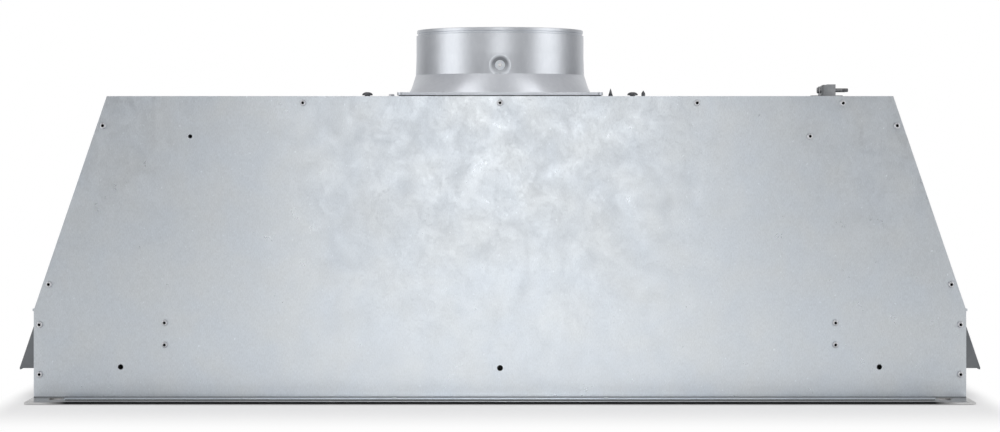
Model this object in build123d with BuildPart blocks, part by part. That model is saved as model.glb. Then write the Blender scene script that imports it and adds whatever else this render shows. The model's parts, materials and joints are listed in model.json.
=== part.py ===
from build123d import *
import math
import os

os.makedirs("parts", exist_ok=True)

# A range hood insert. X runs across the front, Y from the front (-) to the back (+), Z up.
# The origin is the centre of the insert on the surface that its lip rests on. Sizes are in mm.

# Body
bottom_width = 1025.5
top_width = 865.0
body_depth = 420.0
skirt_height = 96.3  # frame's flange up to the bend in the sides
slope_height = 235.3  # the bend up to the flat top
sheet = 1.0  # galvanised sheet
edge_flange = 13.0  # turned edges that the panels are screwed to

# Stainless face frame
frame_sheet = 1.2
lip_height = 2.2
flange_reach = 38.0  # how far the flange stands out in front and behind
side_lap = 1.55  # how far the frame stands out past the sides
hem_reach = 20.0  # the panel's bottom edge, turned over the flange
hem_inset = 32.75
hem_slant = 6.0
relief_width = 12.0
relief_slant = 3.0
relief_depth = 19.0

# Lower edge of the slanted covers, lapped over the skirts
drip_out = 1.6
drip_height = 2.6
drip_gap = 0.1

# Panel screws
screw_shank = 4.0
screw_hole = 4.3
screw_length = 10.0
pan_head = 7.2
pan_height = 2.9
pan_round = 1.7
recess_width = 4.4
recess_slot = 1.1
recess_depth = 1.6
top_row_pitch = 216.6
top_row_drop = 7.5
slope_screw_inset = 7.2
slope_screw_drop = 32.6  # below the flat top
slope_screw_rise = 28.1  # above the bend
skirt_screw_inset = 6.6
skirt_screw_drop = 16.0  # below the bend
skirt_screw_rise = 25.6  # above the flange
bracket_inset = 144.05
bracket_screw_rises = (58.1, 82.3)
cabinet_hole_inset = 95.55
cabinet_hole_rise = 33.7
cabinet_hole = 5.9
centre_hole_rise = 32.5
centre_hole = 6.5
spare_hole = 4.5
rivet_head = 6.0
rivet_head_height = 1.0
rivet_shank = 3.2
hem_rivet_x = 116.0
hem_rivet_reach = 10.0
pin_gap = 0.05  # radial, round pins and shanks in their holes

# Filter recess and grease gutter
recess_margin = 50.75  # from the body's side to the recess
service_depth = 82.0  # from the body's front to the recess
back_space = 17.0  # from the gutter to the body's back
recess_sheet = 1.0
recess_front_height = 91.8
recess_back_height = 39.8
recess_ledge = 12.0
gutter_depth = 25.0
gutter_front_height = 21.8
strike_reach = 10.0
strike_gap = 0.3

# Baffle filters
filter_count = 3
filter_gap = 1.3
filter_side_gap = 1.7
filter_front_gap = 1.8  # past the strike
filter_thickness = 15.0
filter_sheet = 0.8
filter_rail = 13.0
filter_tilt = 8.0  # degrees, the front edge higher
filter_overhang = 9.0  # past the gutter's front wall
filter_seat_gap = 0.5
baffle_count = 8
baffle_slot = 13.0
baffle_leg = 5.0
baffle_seat = 6.0
baffle_gap = 0.1
drain_hole = 4.0
latch_strip_width = 40.0
latch_strip_length = 34.0
latch_strip_sheet = 1.5
latch_reach = 5.5
latch_travel = 6.0
latch_gap = 0.35
latch_tab_drop = 13.0
latch_rivet_pitch = 24.0
latch_rivet = 4.0
latch_rivet_head = 8.0
latch_rivet_head_height = 1.2
latch_slot_gap = 0.3

# Service compartment, behind the front edge
service_middle = 42.0  # from the body's front to the lamps and the buttons
service_cover_lap = 8.0
service_cover_upstand = 12.0
bracket_width = 24.0
bracket_sheet = 1.5
rear_bracket_rise = 13.0
bracket_rise = 47.8

# Lamps
lamp_x = 300.0
lamp_bezel = 70.0
lamp_bezel_height = 0.8
lamp_body = 60.0
lamp_hole = 61.0
lamp_height = 38.0
lamp_lens = 52.0
lamp_lens_height = 3.0
lamp_lens_recess = 0.4
lamp_fin = 1.6
lamp_fin_pitch = 6.5
lamp_fin_depth = 20.0

# Push buttons
control_width = 150.0
control_depth = 30.0
control_border = 6.0
control_bezel_sheet = 0.8
control_recess = 8.0
control_roof = 1.2
control_fit = 0.5
button_names = ("light", "low", "medium", "high")
button_pitch = 32.0
button_width = 22.0
button_depth = 14.0
button_gap = 0.4
button_flange = 1.6
button_flange_height = 1.5
button_stem = 6.0
button_travel = 2.0
button_face = 1.6  # above the resting face
switch_height = 18.0
switch_leg = 8.0

# Damper collar, for 8-inch round duct
collar_radius = 100.7
collar_sheet = 0.8
collar_swell = 0.75  # the round body widens down to the foot by this
collar_flare_height = 22.1
collar_taper_height = 23.3
collar_body_height = 23.8
collar_groove_depth = 1.55
collar_groove_height = 3.1
collar_rim_step = 0.7
collar_rim_height = 3.5
collar_foot_spread = 6.55  # of the square foot past the round body
collar_foot_flat = 84.0
collar_round_flat = 5.0
collar_plate_border = 10.25
collar_plate_height = 5.8
collar_plate_corner = 6.0
collar_plate_drop = 3.4
outlet_step_x = 9.0  # from the foot of the collar in to the outlet
outlet_step_y = 10.0
outlet_corner = 20.0
gasket_border = 4.0
foot_rivet_x = 65.7
foot_rivet_border = 5.25

# Damper
damper_rise = 37.6  # axle above the flat top
damper_cup = 25.4
damper_cup_sink = 3.9
axle_radius = 2.0
bush_radius = 5.8
bush_head = 1.4
bush_neck = 3.0
bush_hole_gap = 0.1
flap_edge_gap = 2.4
flap_sheet = 1.0
flap_end_gap = 0.35
flap_knuckle = 3.1
flap_knuckle_bore = 2.08
flap_relief = 4.2
knuckle_count = 6
knuckle_gap = 0.6
flap_stop_reach = 8.0
flap_stop_width = 8.0
flap_stop_gap = 0.3

# Blower
wheel_y = 52.0
wheel_head_room = 36.8  # from the wheel up to the flat top
blower_rise = 67.8  # from the flange up to the blower
blade_depth = 15.0
wheel_side_gap = 15.0
wheel_disc = 2.0
wheel_ring = 2.0
blade_count = 36
blade_sheet = 1.0
blade_lean = 26.0
hub_radius = 18.0
hub_half = 14.0
scroll_step = 16.0
scroll_clearance = 10.0
scroll_top_flange = 13.0
inlet_lap = 2.0  # of the inlet inside the blades
inlet_throat = 4.0
inlet_depth = 11.0
shaft_radius = 6.0
shaft_run = 0.06
motor_radius = 48.0
motor_start = 20.0
motor_boss = 20.0
motor_boss_height = 4.0
motor_fin = 3.0
motor_fin_count = 12
spider_offset = 4.0
spider_sheet = 2.5
spider_ring = 60.0
spider_hole = 20.0
spider_arm = 18.0
spider_arm_count = 3
grommet_offset = 9.0  # from the inlet's edge
grommet_radius = 8.0
grommet_pin = 2.0
grommet_pin_gap = 0.1
hanger_reach = 86.0
hanger_depth = 120.0
hanger_drop = 42.0
hanger_sheet = 1.5

# Fasteners on the flat top
dome_offset = 60.0  # from the blower's side
dome_radius = 6.4
dome_height = 4.0
dome_neck = 3.3
dome_neck_height = 4.0
dome_shank = 2.5
dome_reach = 9.0
dome_arc = (dome_radius**2 + dome_height**2) / (2 * dome_height)
small_screw_offset = 33.0
small_screw_head = 6.9
small_screw_height = 6.2
small_screw_shank = 2.2
tip_screw_offset = 35.7
tip_screw_radius = 3.3
tip_screw_height = 12.8
thin_tip_offset = 70.0
thin_tip_radius = 2.5
thin_tip_height = 9.2
tip_head_border = 1.6
tip_head_height = 2.4
tip_thread_height = 4.0
small_screw_y = 40.0

# Wiring box and cable clamp
box_width = 74.0
box_depth = 74.0
box_height = 51.8
box_inset = 67.0  # from the flat top's end
box_cover_gap = 0.4
box_cover_lip = 2.2
box_corner_screw = (11.5, 7.8)  # right of the box's centre, below the flat top
box_lower_screw = (24.8, 44.3)  # left of the box's centre, below the flat top
terminal_width = 50.0
terminal_depth = 14.0
terminal_height = 20.0
terminal_rise = 13.0
terminal_ways = 4
terminal_hole = 4.0
clamp_offset_y = 38.0  # behind the front panel
clamp_foot = 18.0
clamp_foot_height = 1.2
clamp_nipple = 10.9
clamp_nipple_length = 15.0
clamp_nipple_gap = 0.2
clamp_bore = 5.6
clamp_width = 15.3
clamp_length = 28.0
clamp_height = 13.4
clamp_wall = 2.0
clamp_shoulder = 10.0
clamp_axis_rise = 7.0
clamp_screw = 2.1
clamp_screw_gap = 0.1
clamp_screw_length = 30.0
clamp_screw_head = 3.3
clamp_screw_head_height = 1.8
saddle_sheet = 1.8
saddle_height = 9.8
saddle_gap = 0.35
locknut_radius = 15.0
locknut_height = 4.0
locknut_gap = 0.05

# Capacitor
capacitor_x = 240.0
capacitor_radius = 17.5
capacitor_height = 60.0
capacitor_stud = 4.0
capacitor_nut = 6.5
capacitor_nut_height = 5.0
capacitor_tab = 6.3

# Side latches
side_latch_inset = 48.0  # from the front or the back
side_latch_width = 44.0
side_latch_sheet = 1.2
side_latch_gap = 0.4
latch_tip_out = 22.0  # past the skirt
latch_bottom_rise = 29.2  # above the flange
latch_top_drop = 3.0  # below the bend
latch_head_out = 0.3
latch_lip = 1.5
latch_shelf = 14.0
latch_inner = 9.0
latch_pin_in = 5.2  # pin inside the skirt's face
latch_pin_drop = 7.0
latch_pin_radius = 1.5
latch_pin_head = 2.6
latch_ear = 7.0
latch_swing = 18.0  # degrees, fully pushed in
window_margin = 1.6
spring_wire = 1.0
spring_inner = 2.0
spring_length = 24.0
spring_leg = 22.0

# Places worked out from the sizes above
frame_top = lip_height
bend_z = frame_top + skirt_height
top_z = bend_z + slope_height
top_under = top_z - sheet
half_bottom = bottom_width / 2
half_top = top_width / 2
half_depth = body_depth / 2
slope_rate = (half_bottom - half_top) / slope_height  # how fast each side leans in
slope_sheet = sheet * math.hypot(1, slope_rate)
frame_width = bottom_width + 2 * side_lap
frame_depth = body_depth + 2 * flange_reach
hem_length = bottom_width - 2 * hem_inset
half_recess = half_bottom - recess_margin
latch_centres = (side_latch_inset - half_depth, half_depth - side_latch_inset)
recess_front = service_depth - half_depth
gutter_back = half_depth - back_space
recess_back = gutter_back - gutter_depth
service_y = service_middle - half_depth
collar_foot_radius = collar_radius + collar_swell
collar_foot_width = 2 * (collar_foot_radius + collar_foot_spread)
collar_plate_width = collar_foot_width + 2 * collar_plate_border
outlet_width = collar_foot_width - 2 * outlet_step_x
outlet_depth = collar_foot_width - 2 * outlet_step_y
foot_rivet_y = collar_plate_width / 2 - foot_rivet_border
foot_rivets = [(x, y) for x in (-foot_rivet_x, foot_rivet_x) for y in (-foot_rivet_y, foot_rivet_y)]
hem_rivets = [(x, -half_depth - hem_rivet_reach) for x in (-hem_rivet_x, hem_rivet_x)]
damper_z = top_z + damper_rise
blower_room = top_z - wheel_head_room - frame_top - blower_rise - sheet
wheel_radius = (blower_room - 2 * scroll_step - scroll_clearance) / 2
wheel_inner = wheel_radius - blade_depth
wheel_z = top_z - wheel_head_room - wheel_radius
inlet_radius = wheel_inner - inlet_lap
inlet_mouth = inlet_radius - inlet_throat
grommet_reach = inlet_radius + grommet_offset
scroll_half = outlet_width / 2
blower_face = scroll_half + sheet
wheel_half = scroll_half - wheel_side_gap
dome_screws = [(side * (blower_face + dome_offset), 0) for side in (-1, 1)]
small_screws = [(-blower_face - small_screw_offset, small_screw_y)]
tip_screws = [(blower_face + tip_screw_offset, small_screw_y)]
thin_tips = [(blower_face + thin_tip_offset, -small_screw_y)]
box_centre_x = half_top - box_inset
box_front = -half_depth + sheet
box_under = top_under - box_height
clamp_y = -half_depth + clamp_offset_y


def half_width(height):
    """Half of the body's width at a height."""
    return half_bottom - max(0, height - bend_z) * slope_rate


# Screws and holes in the front and back panels, as (x, z)
top_screws = [(x, top_z - top_row_drop) for x in (-top_row_pitch, 0, top_row_pitch)]
slope_screws = [
    (side * (half_width(z) - slope_screw_inset), z)
    for side in (-1, 1)
    for z in (top_z - slope_screw_drop, bend_z + slope_screw_rise)
]
skirt_screws = [
    (side * (half_bottom - skirt_screw_inset), z)
    for side in (-1, 1)
    for z in (bend_z - skirt_screw_drop, frame_top + skirt_screw_rise)
]
bracket_screws = [
    (side * (half_bottom - bracket_inset), frame_top + rise)
    for side in (-1, 1)
    for rise in bracket_screw_rises
]
box_screws = [
    (box_centre_x + box_corner_screw[0], top_z - box_corner_screw[1]),
    (box_centre_x - box_lower_screw[0], top_z - box_lower_screw[1]),
]
edge_screws = top_screws + slope_screws + skirt_screws
back_screws = edge_screws + bracket_screws
front_screws = back_screws + box_screws
cabinet_holes = [
    (side * (half_bottom - cabinet_hole_inset), frame_top + cabinet_hole_rise) for side in (-1, 1)
]
spare_hole_place = (-box_screws[1][0], box_screws[1][1])

front_plane = Plane.XZ.offset(half_depth)
back_plane = Plane.XZ.offset(-half_depth)


# ---- Body sheets

with BuildSketch() as panel_shape:
    Polygon(
        (-half_bottom, frame_top),
        (half_bottom, frame_top),
        (half_bottom, bend_z),
        (half_top, top_z),
        (-half_top, top_z),
        (-half_bottom, bend_z),
        align=None,
    )

# The bottom edge turned over the flange, seen from above, on the front
with BuildSketch() as hem_shape:
    Polygon(
        (-hem_length / 2, -half_depth + sheet),
        (-hem_length / 2, -half_depth),
        (hem_slant - hem_length / 2, -half_depth - hem_reach),
        (hem_length / 2 - hem_slant, -half_depth - hem_reach),
        (hem_length / 2, -half_depth),
        (hem_length / 2, -half_depth + sheet),
        align=None,
    )

with BuildPart() as front_panel:
    with BuildSketch(front_plane):
        add(panel_shape.sketch)
        with Locations(*front_screws):
            Circle(screw_hole / 2, mode=Mode.SUBTRACT)
        with Locations(*cabinet_holes):
            Circle(cabinet_hole / 2, mode=Mode.SUBTRACT)
        with Locations((0, frame_top + centre_hole_rise)):
            Circle(centre_hole / 2, mode=Mode.SUBTRACT)
        with Locations(spare_hole_place):
            Circle(spare_hole / 2, mode=Mode.SUBTRACT)
    extrude(amount=-sheet)
    with BuildSketch(Plane.XY.offset(frame_top)):
        add(hem_shape.sketch)
        with Locations(*hem_rivets):
            Circle(rivet_shank / 2 + pin_gap, mode=Mode.SUBTRACT)
    extrude(amount=sheet)

front_panel.part.label = "front_panel"
export_step(front_panel.part, "parts/front_panel.step")

with BuildPart() as back_panel:
    with BuildSketch(back_plane):
        add(panel_shape.sketch)
        with Locations(*back_screws):
            Circle(screw_hole / 2, mode=Mode.SUBTRACT)
        with Locations(*cabinet_holes):
            Circle(cabinet_hole / 2, mode=Mode.SUBTRACT)
    extrude(amount=sheet)
    with BuildSketch(Plane.XY.offset(frame_top)):
        add(mirror(hem_shape.sketch, about=Plane.XZ, mode=Mode.PRIVATE))
    extrude(amount=sheet)

back_panel.part.label = "back_panel"
export_step(back_panel.part, "parts/back_panel.step")


# Clearance holes for the edge screws, from the panels' outer faces inwards
with BuildPart() as screw_bores:
    for plane, depth in ((front_plane, -2 * sheet), (back_plane, 2 * sheet)):
        with BuildSketch(plane):
            with Locations(*edge_screws):
                Circle(screw_hole / 2)
        extrude(amount=depth)


# Side latches in their windows, which reach down past the underside of a wedge swung fully in
latch_low = frame_top + latch_bottom_rise
latch_high = bend_z - latch_top_drop
pin_z = bend_z - latch_pin_drop
wedge_drop = pin_z - latch_low
swing = math.radians(latch_swing)
swung_reach = (latch_pin_in + wedge_drop * math.sin(swing)) / math.cos(swing)
window_half = side_latch_width / 2 + side_latch_gap
window_low = pin_z - wedge_drop * math.cos(swing) - swung_reach * math.sin(swing) - window_margin
window_high = latch_high + window_margin
ear_centre = window_half + sheet / 2


def make_side_panel(side):
    """Upright skirt, with its turned edges, the latch windows and their pin ears."""
    outer = side * half_bottom
    inner = side * (half_bottom - sheet)
    flange_end = side * (half_bottom - sheet - edge_flange)
    pin_x = side * (half_bottom - latch_pin_in)
    ear_end = side * (half_bottom - latch_pin_in - latch_ear / 2)
    with BuildPart() as panel:
        with BuildSketch(Plane.XZ):
            Polygon((outer, frame_top), (outer, bend_z), (inner, bend_z), (inner, frame_top), align=None)
        extrude(amount=half_depth - sheet, both=True)
        with BuildSketch(Plane.XZ):
            Polygon(
                (inner, frame_top),
                (inner, frame_top + sheet),
                (flange_end, frame_top + sheet),
                (flange_end, frame_top),
                align=None,
            )
        extrude(amount=half_depth - sheet, both=True)
        with BuildSketch(front_plane.offset(-sheet), back_plane.offset(2 * sheet)):
            Polygon(
                (inner, frame_top), (inner, bend_z), (flange_end, bend_z), (flange_end, frame_top), align=None
            )
        extrude(amount=-sheet)
        with BuildSketch(Plane.YZ.offset(outer)):
            for y in latch_centres:
                Polygon(
                    (y - window_half, window_low),
                    (y + window_half, window_low),
                    (y + window_half, window_high),
                    (y - window_half, window_high),
                    align=None,
                )
        extrude(amount=-side * sheet, mode=Mode.SUBTRACT)
        with BuildSketch(Plane.XZ):
            Polygon(
                (outer, pin_z - latch_ear),
                (outer, window_high),
                (ear_end, pin_z + latch_ear / 2),
                (ear_end, pin_z - latch_ear / 2),
                align=None,
            )
            with Locations((pin_x, pin_z)):
                Circle(latch_pin_radius + pin_gap, mode=Mode.SUBTRACT)
        ear = extrude(amount=sheet / 2, both=True, mode=Mode.PRIVATE)
        with Locations(*[(0, y + end * ear_centre, 0) for y in latch_centres for end in (-1, 1)]):
            add(ear)
        add(screw_bores.part, mode=Mode.SUBTRACT)
    return panel.part


def make_slope_panel(side):
    """Slanted cover: its lower edge laps over the skirt, its ends are turned in."""
    outer_low = side * half_bottom
    inner_low = side * (half_bottom - slope_sheet)
    outer_high = side * half_top
    inner_high = side * (half_top - slope_sheet)
    flange_width = edge_flange * math.hypot(1, slope_rate)
    lap_in = side * (half_bottom + drip_gap)
    lap_out = side * (half_bottom + drip_out)
    lap_half = drip_height / 2
    with BuildPart() as panel:
        with BuildSketch(Plane.XZ):
            Polygon(
                (outer_low, bend_z), (outer_high, top_z), (inner_high, top_z), (inner_low, bend_z), align=None
            )
            Polygon(
                (lap_in, bend_z - lap_half),
                (lap_out, bend_z - lap_half),
                (lap_out, bend_z + lap_half),
                (outer_low - side * slope_sheet, bend_z + lap_half),
                (inner_low, bend_z),
                (lap_in, bend_z),
                align=None,
            )
        extrude(amount=half_depth - sheet, both=True)
        with BuildSketch(front_plane.offset(-sheet), back_plane.offset(2 * sheet)):
            Polygon(
                (inner_low, bend_z),
                (inner_low + (top_under - bend_z) * -side * slope_rate, top_under),
                (inner_low + (top_under - bend_z) * -side * slope_rate - side * flange_width, top_under),
                (inner_low - side * flange_width, bend_z),
                align=None,
            )
        extrude(amount=-sheet)
        add(screw_bores.part, mode=Mode.SUBTRACT)
    return panel.part


for side, hand in ((-1, "left"), (1, "right")):
    side_panel = make_side_panel(side)
    side_panel.label = f"side_panel_{hand}"
    export_step(side_panel, f"parts/side_panel_{hand}.step")
    slope_panel = make_slope_panel(side)
    slope_panel.label = f"slope_panel_{hand}"
    export_step(slope_panel, f"parts/slope_panel_{hand}.step")

# Holes in the flat top for the blower's hangers
with BuildSketch() as top_screw_holes:
    with Locations(*dome_screws):
        Circle(dome_shank + pin_gap)
    with Locations(*small_screws):
        Circle(small_screw_shank + pin_gap)
    with Locations(*tip_screws):
        Circle(tip_screw_radius + pin_gap)
    with Locations(*thin_tips):
        Circle(thin_tip_radius + pin_gap)

# Flat top, with its edges turned down behind the panels and along the slopes
roof_half = half_top - slope_sheet
roof_flange_half = roof_half - 2 * edge_flange
with BuildPart() as top_panel:
    with BuildSketch(Plane.XY.offset(top_under)):
        Rectangle(2 * roof_half, body_depth - 2 * sheet)
        RectangleRounded(outlet_width, outlet_depth, outlet_corner, mode=Mode.SUBTRACT)
        add(top_screw_holes.sketch, mode=Mode.SUBTRACT)
        with Locations((box_centre_x, clamp_y)):
            Circle(clamp_nipple + clamp_nipple_gap, mode=Mode.SUBTRACT)
    extrude(amount=sheet)
    with BuildSketch(front_plane.offset(-sheet), back_plane.offset(2 * sheet)):
        Polygon(
            (-roof_flange_half, top_under - edge_flange),
            (roof_flange_half, top_under - edge_flange),
            (roof_flange_half, top_under),
            (-roof_flange_half, top_under),
            align=None,
        )
        with Locations(*front_screws):
            Circle(screw_hole / 2, mode=Mode.SUBTRACT)
    extrude(amount=-sheet)
    with BuildSketch(Plane.XZ):
        for side in (-1, 1):
            rim = side * (roof_half + sheet * slope_rate)
            Polygon(
                (rim, top_under),
                (rim + side * edge_flange * slope_rate, top_under - edge_flange),
                (rim + side * (edge_flange * slope_rate - slope_sheet), top_under - edge_flange),
                (rim - side * slope_sheet, top_under),
                align=None,
            )
    extrude(amount=half_depth - 3 * sheet, both=True)

top_panel.part.label = "top_panel"
export_step(top_panel.part, "parts/top_panel.step")


# ---- Face frame, recess and gutter

relief_start = hem_length / 2
relief_end = relief_start + relief_width
relief_near = half_depth + frame_sheet

with BuildPart() as face_frame:
    with BuildSketch(Plane.XY.offset(frame_top - frame_sheet)):
        Rectangle(frame_width, frame_depth)
        with Locations((0, (recess_front + recess_back) / 2)):
            Rectangle(2 * half_recess, recess_back - recess_front, mode=Mode.SUBTRACT)
        with Locations((-lamp_x, service_y), (lamp_x, service_y)):
            Circle(lamp_hole / 2, mode=Mode.SUBTRACT)
        with Locations((0, service_y)):
            Rectangle(control_width, control_depth, mode=Mode.SUBTRACT)
        for side in (-1, 1):
            for end in (-1, 1):
                Polygon(
                    (side * relief_start, end * relief_near),
                    (side * (relief_end + relief_slant), end * relief_near),
                    (side * relief_end, end * (relief_near + relief_depth)),
                    (side * relief_start, end * (relief_near + relief_depth)),
                    align=None,
                    mode=Mode.SUBTRACT,
                )
        with Locations(*hem_rivets):
            Circle(rivet_shank / 2 + pin_gap, mode=Mode.SUBTRACT)
    extrude(amount=frame_sheet)
    with BuildSketch():
        Rectangle(frame_width, frame_depth)
        Rectangle(frame_width - 2 * frame_sheet, frame_depth - 2 * frame_sheet, mode=Mode.SUBTRACT)
    extrude(amount=frame_top)

face_frame.part.label = "face_frame"
export_step(face_frame.part, "parts/face_frame.step")

# The filters' own plane: its origin is the line they turn on, at the top of the gutter's front
# wall, local x along the body and local y down the slope towards the back
tilt = math.radians(filter_tilt)
strike_edge = recess_front + strike_reach
filter_length = (recess_back - strike_edge - filter_front_gap) / math.cos(tilt) + filter_overhang
hinge_z = frame_top + gutter_front_height + filter_seat_gap
filter_plane = Plane(
    origin=(0, recess_back, hinge_z),
    x_dir=(1, 0, 0),
    z_dir=(0, math.sin(tilt), math.cos(tilt)),
)
filter_front = filter_overhang - filter_length  # local y of the front edge
latch_top = -latch_gap  # local z of the latch strip's upper face
latch_under = latch_top - latch_strip_sheet
strike_top = (
    hinge_z
    + (recess_back - strike_edge) * math.tan(tilt)
    + latch_under / math.cos(tilt)
    - strike_gap
)

with BuildPart() as filter_recess:
    with BuildSketch(Plane.XZ.offset(-recess_front)):
        Polygon(
            (-half_recess - recess_sheet, frame_top),
            (half_recess + recess_sheet, frame_top),
            (half_recess + recess_sheet, frame_top + recess_front_height),
            (-half_recess - recess_sheet, frame_top + recess_front_height),
            align=None,
        )
    extrude(amount=recess_sheet)
    with BuildSketch(Plane.YZ.offset(-half_recess - recess_sheet), Plane.YZ.offset(half_recess)):
        Polygon(
            (recess_front - recess_sheet, frame_top),
            (gutter_back, frame_top),
            (gutter_back, frame_top + recess_back_height),
            (recess_front - recess_sheet, frame_top + recess_front_height),
            align=None,
        )
    extrude(amount=recess_sheet)
    with BuildSketch(Plane.YZ):
        Polygon(
            (recess_front - recess_sheet - recess_ledge, frame_top + recess_front_height - recess_sheet),
            (recess_front - recess_sheet, frame_top + recess_front_height - recess_sheet),
            (recess_front - recess_sheet, frame_top + recess_front_height),
            (recess_front - recess_sheet - recess_ledge, frame_top + recess_front_height),
            align=None,
        )
        Polygon(
            (recess_front, strike_top - recess_sheet),
            (strike_edge, strike_top - recess_sheet),
            (strike_edge, strike_top),
            (recess_front, strike_top),
            align=None,
        )
    extrude(amount=half_recess, both=True)

filter_recess.part.label = "filter_recess"
export_step(filter_recess.part, "parts/filter_recess.step")

with BuildPart() as grease_gutter:
    with BuildSketch(Plane.YZ):
        Polygon(
            (recess_back, frame_top),
            (gutter_back, frame_top),
            (gutter_back, frame_top + recess_back_height),
            (gutter_back - recess_sheet, frame_top + recess_back_height),
            (gutter_back - recess_sheet, frame_top + recess_sheet),
            (recess_back + recess_sheet, frame_top + recess_sheet),
            (recess_back + recess_sheet, frame_top + gutter_front_height),
            (recess_back, frame_top + gutter_front_height),
            align=None,
        )
    extrude(amount=half_recess, both=True)

grease_gutter.part.label = "grease_gutter"
export_step(grease_gutter.part, "parts/grease_gutter.step")

# Cover over the service compartment, seated on the recess's ledge
service_z = frame_top + recess_front_height
service_back = recess_front - recess_sheet
with BuildPart() as service_cover:
    with BuildSketch(Plane.YZ):
        Polygon(
            (-half_depth + sheet, service_z),
            (service_back, service_z),
            (service_back, service_z + sheet),
            (-half_depth + 2 * sheet, service_z + sheet),
            (-half_depth + 2 * sheet, service_z + service_cover_upstand),
            (-half_depth + sheet, service_z + service_cover_upstand),
            align=None,
        )
    extrude(amount=half_recess + service_cover_lap, both=True)
    with Locations((capacitor_x, service_y, service_z)):
        Cylinder(capacitor_stud + pin_gap, 2 * sheet, mode=Mode.SUBTRACT)

service_cover.part.label = "service_cover"
export_step(service_cover.part, "parts/service_cover.step")

# Channel brackets between the panels and the recess
bracket_low = frame_top + bracket_rise
bracket_top = service_z - sheet
rear_bracket_low = frame_top + rear_bracket_rise
with BuildPart() as frame_brackets:
    for side in (-1, 1):
        near = side * (half_bottom - bracket_inset - bracket_width / 2)
        far = side * (half_bottom - bracket_inset + bracket_width / 2)
        web = near + side * bracket_sheet
        with BuildSketch(Plane.XY.offset(bracket_low)):
            Polygon(
                (near, -half_depth + sheet),
                (far, -half_depth + sheet),
                (far, -half_depth + sheet + bracket_sheet),
                (web, -half_depth + sheet + bracket_sheet),
                (web, service_back - bracket_sheet),
                (far, service_back - bracket_sheet),
                (far, service_back),
                (near, service_back),
                align=None,
            )
        extrude(amount=bracket_top - bracket_low)
        with BuildSketch(Plane.YZ.offset(near)):
            Polygon(
                (gutter_back, rear_bracket_low),
                (half_depth - sheet, rear_bracket_low),
                (half_depth - sheet, bracket_top),
                (half_depth - sheet - bracket_sheet, bracket_top),
                (gutter_back, frame_top + recess_back_height),
                align=None,
            )
        extrude(amount=side * bracket_sheet)
        with BuildSketch(back_plane.offset(sheet)):
            Polygon(
                (near, rear_bracket_low),
                (far, rear_bracket_low),
                (far, bracket_top),
                (near, bracket_top),
                align=None,
            )
        extrude(amount=bracket_sheet)
        with BuildSketch(Plane.XZ.offset(-gutter_back)):
            Polygon(
                (near, rear_bracket_low),
                (far, rear_bracket_low),
                (far, frame_top + recess_back_height),
                (near, frame_top + recess_back_height),
                align=None,
            )
        extrude(amount=-bracket_sheet)
    for plane in (front_plane, back_plane.offset(sheet + bracket_sheet)):
        with BuildSketch(plane):
            with Locations(*bracket_screws):
                Circle(screw_hole / 2)
        extrude(amount=-sheet - bracket_sheet, mode=Mode.SUBTRACT)

frame_brackets.part.label = "frame_brackets"
export_step(frame_brackets.part, "parts/frame_brackets.step")


# ---- Fasteners

# A pan-head sheet screw, its head upwards, its seat at the origin
with BuildPart() as pan_screw:
    with BuildSketch(Plane.XZ):
        with BuildLine():
            Polyline(
                (pan_head / 2 - pan_round, pan_height),
                (0, pan_height),
                (0, -screw_length),
                (screw_shank / 2, screw_shank / 2 - screw_length),
                (screw_shank / 2, 0),
                (pan_head / 2, 0),
                (pan_head / 2, pan_height - pan_round),
            )
            RadiusArc(
                (pan_head / 2, pan_height - pan_round), (pan_head / 2 - pan_round, pan_height), -pan_round
            )
        make_face()
    revolve(axis=Axis.Z)
    with BuildSketch(Plane.XY.offset(pan_height)):
        Rectangle(recess_width, recess_slot)
        Rectangle(recess_slot, recess_width)
    extrude(amount=-recess_depth, mode=Mode.SUBTRACT)

# A closed rivet, head upwards; its shank goes through two sheets
with BuildPart() as rivet:
    Cylinder(rivet_head / 2, rivet_head_height, align=(Align.CENTER, Align.CENTER, Align.MIN))
    fillet(rivet.edges().sort_by(Axis.Z)[-1], rivet_head_height * 0.6)
    Cylinder(rivet_shank / 2, sheet + frame_sheet, align=(Align.CENTER, Align.CENTER, Align.MAX))

with BuildPart() as panel_screws:
    for x, z in front_screws:
        with Locations(Location((x, -half_depth, z), (90, 0, 0))):
            add(pan_screw.part)
    for x, z in back_screws:
        with Locations(Location((x, half_depth, z), (-90, 0, 0))):
            add(pan_screw.part)
    with Locations(*[(x, y, frame_top + sheet) for x, y in hem_rivets]):
        add(rivet.part)

panel_screws.part.label = "panel_screws"
export_step(panel_screws.part, "parts/panel_screws.step")
print("body sheets and screws done")


# ---- Damper collar

plate_top = top_z + collar_plate_height
flare_z = plate_top + collar_flare_height
body_z = flare_z + collar_taper_height
groove_z = body_z + collar_body_height
rim_z = groove_z + collar_groove_height
rim_top = rim_z + collar_rim_height
collar_foot_corner = (collar_foot_width - collar_foot_flat) / 2
collar_groove_radius = collar_radius - collar_groove_depth
collar_rim_radius = collar_radius - collar_rim_step
foot_inside = collar_foot_width / 2 - collar_sheet
wall_inside = collar_foot_radius - collar_sheet


def foot_section(half_side, half_flat, corner_radius):
    """Face with four sides and four corners; a full circle when the corners share its centre."""
    corner_centre = half_side - corner_radius
    middle = corner_centre + corner_radius * math.cos(math.radians(45))
    across = corner_centre + math.sqrt(corner_radius**2 - (half_flat - corner_centre) ** 2)
    places = (
        (across, -half_flat),
        (half_side, 0),
        (across, half_flat),
        (middle, middle),
        (half_flat, across),
    )
    with BuildSketch() as section:
        with BuildLine():
            for turn in range(4):
                start, side_middle, end, corner, following = (
                    Vector(x, y).rotate(Axis.Z, 90 * turn) for x, y in places
                )
                if corner_centre > 0:
                    Line(start, end)
                else:
                    ThreePointArc(start, side_middle, end)
                ThreePointArc(end, corner, following)
        make_face()
    return section.sketch


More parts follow.
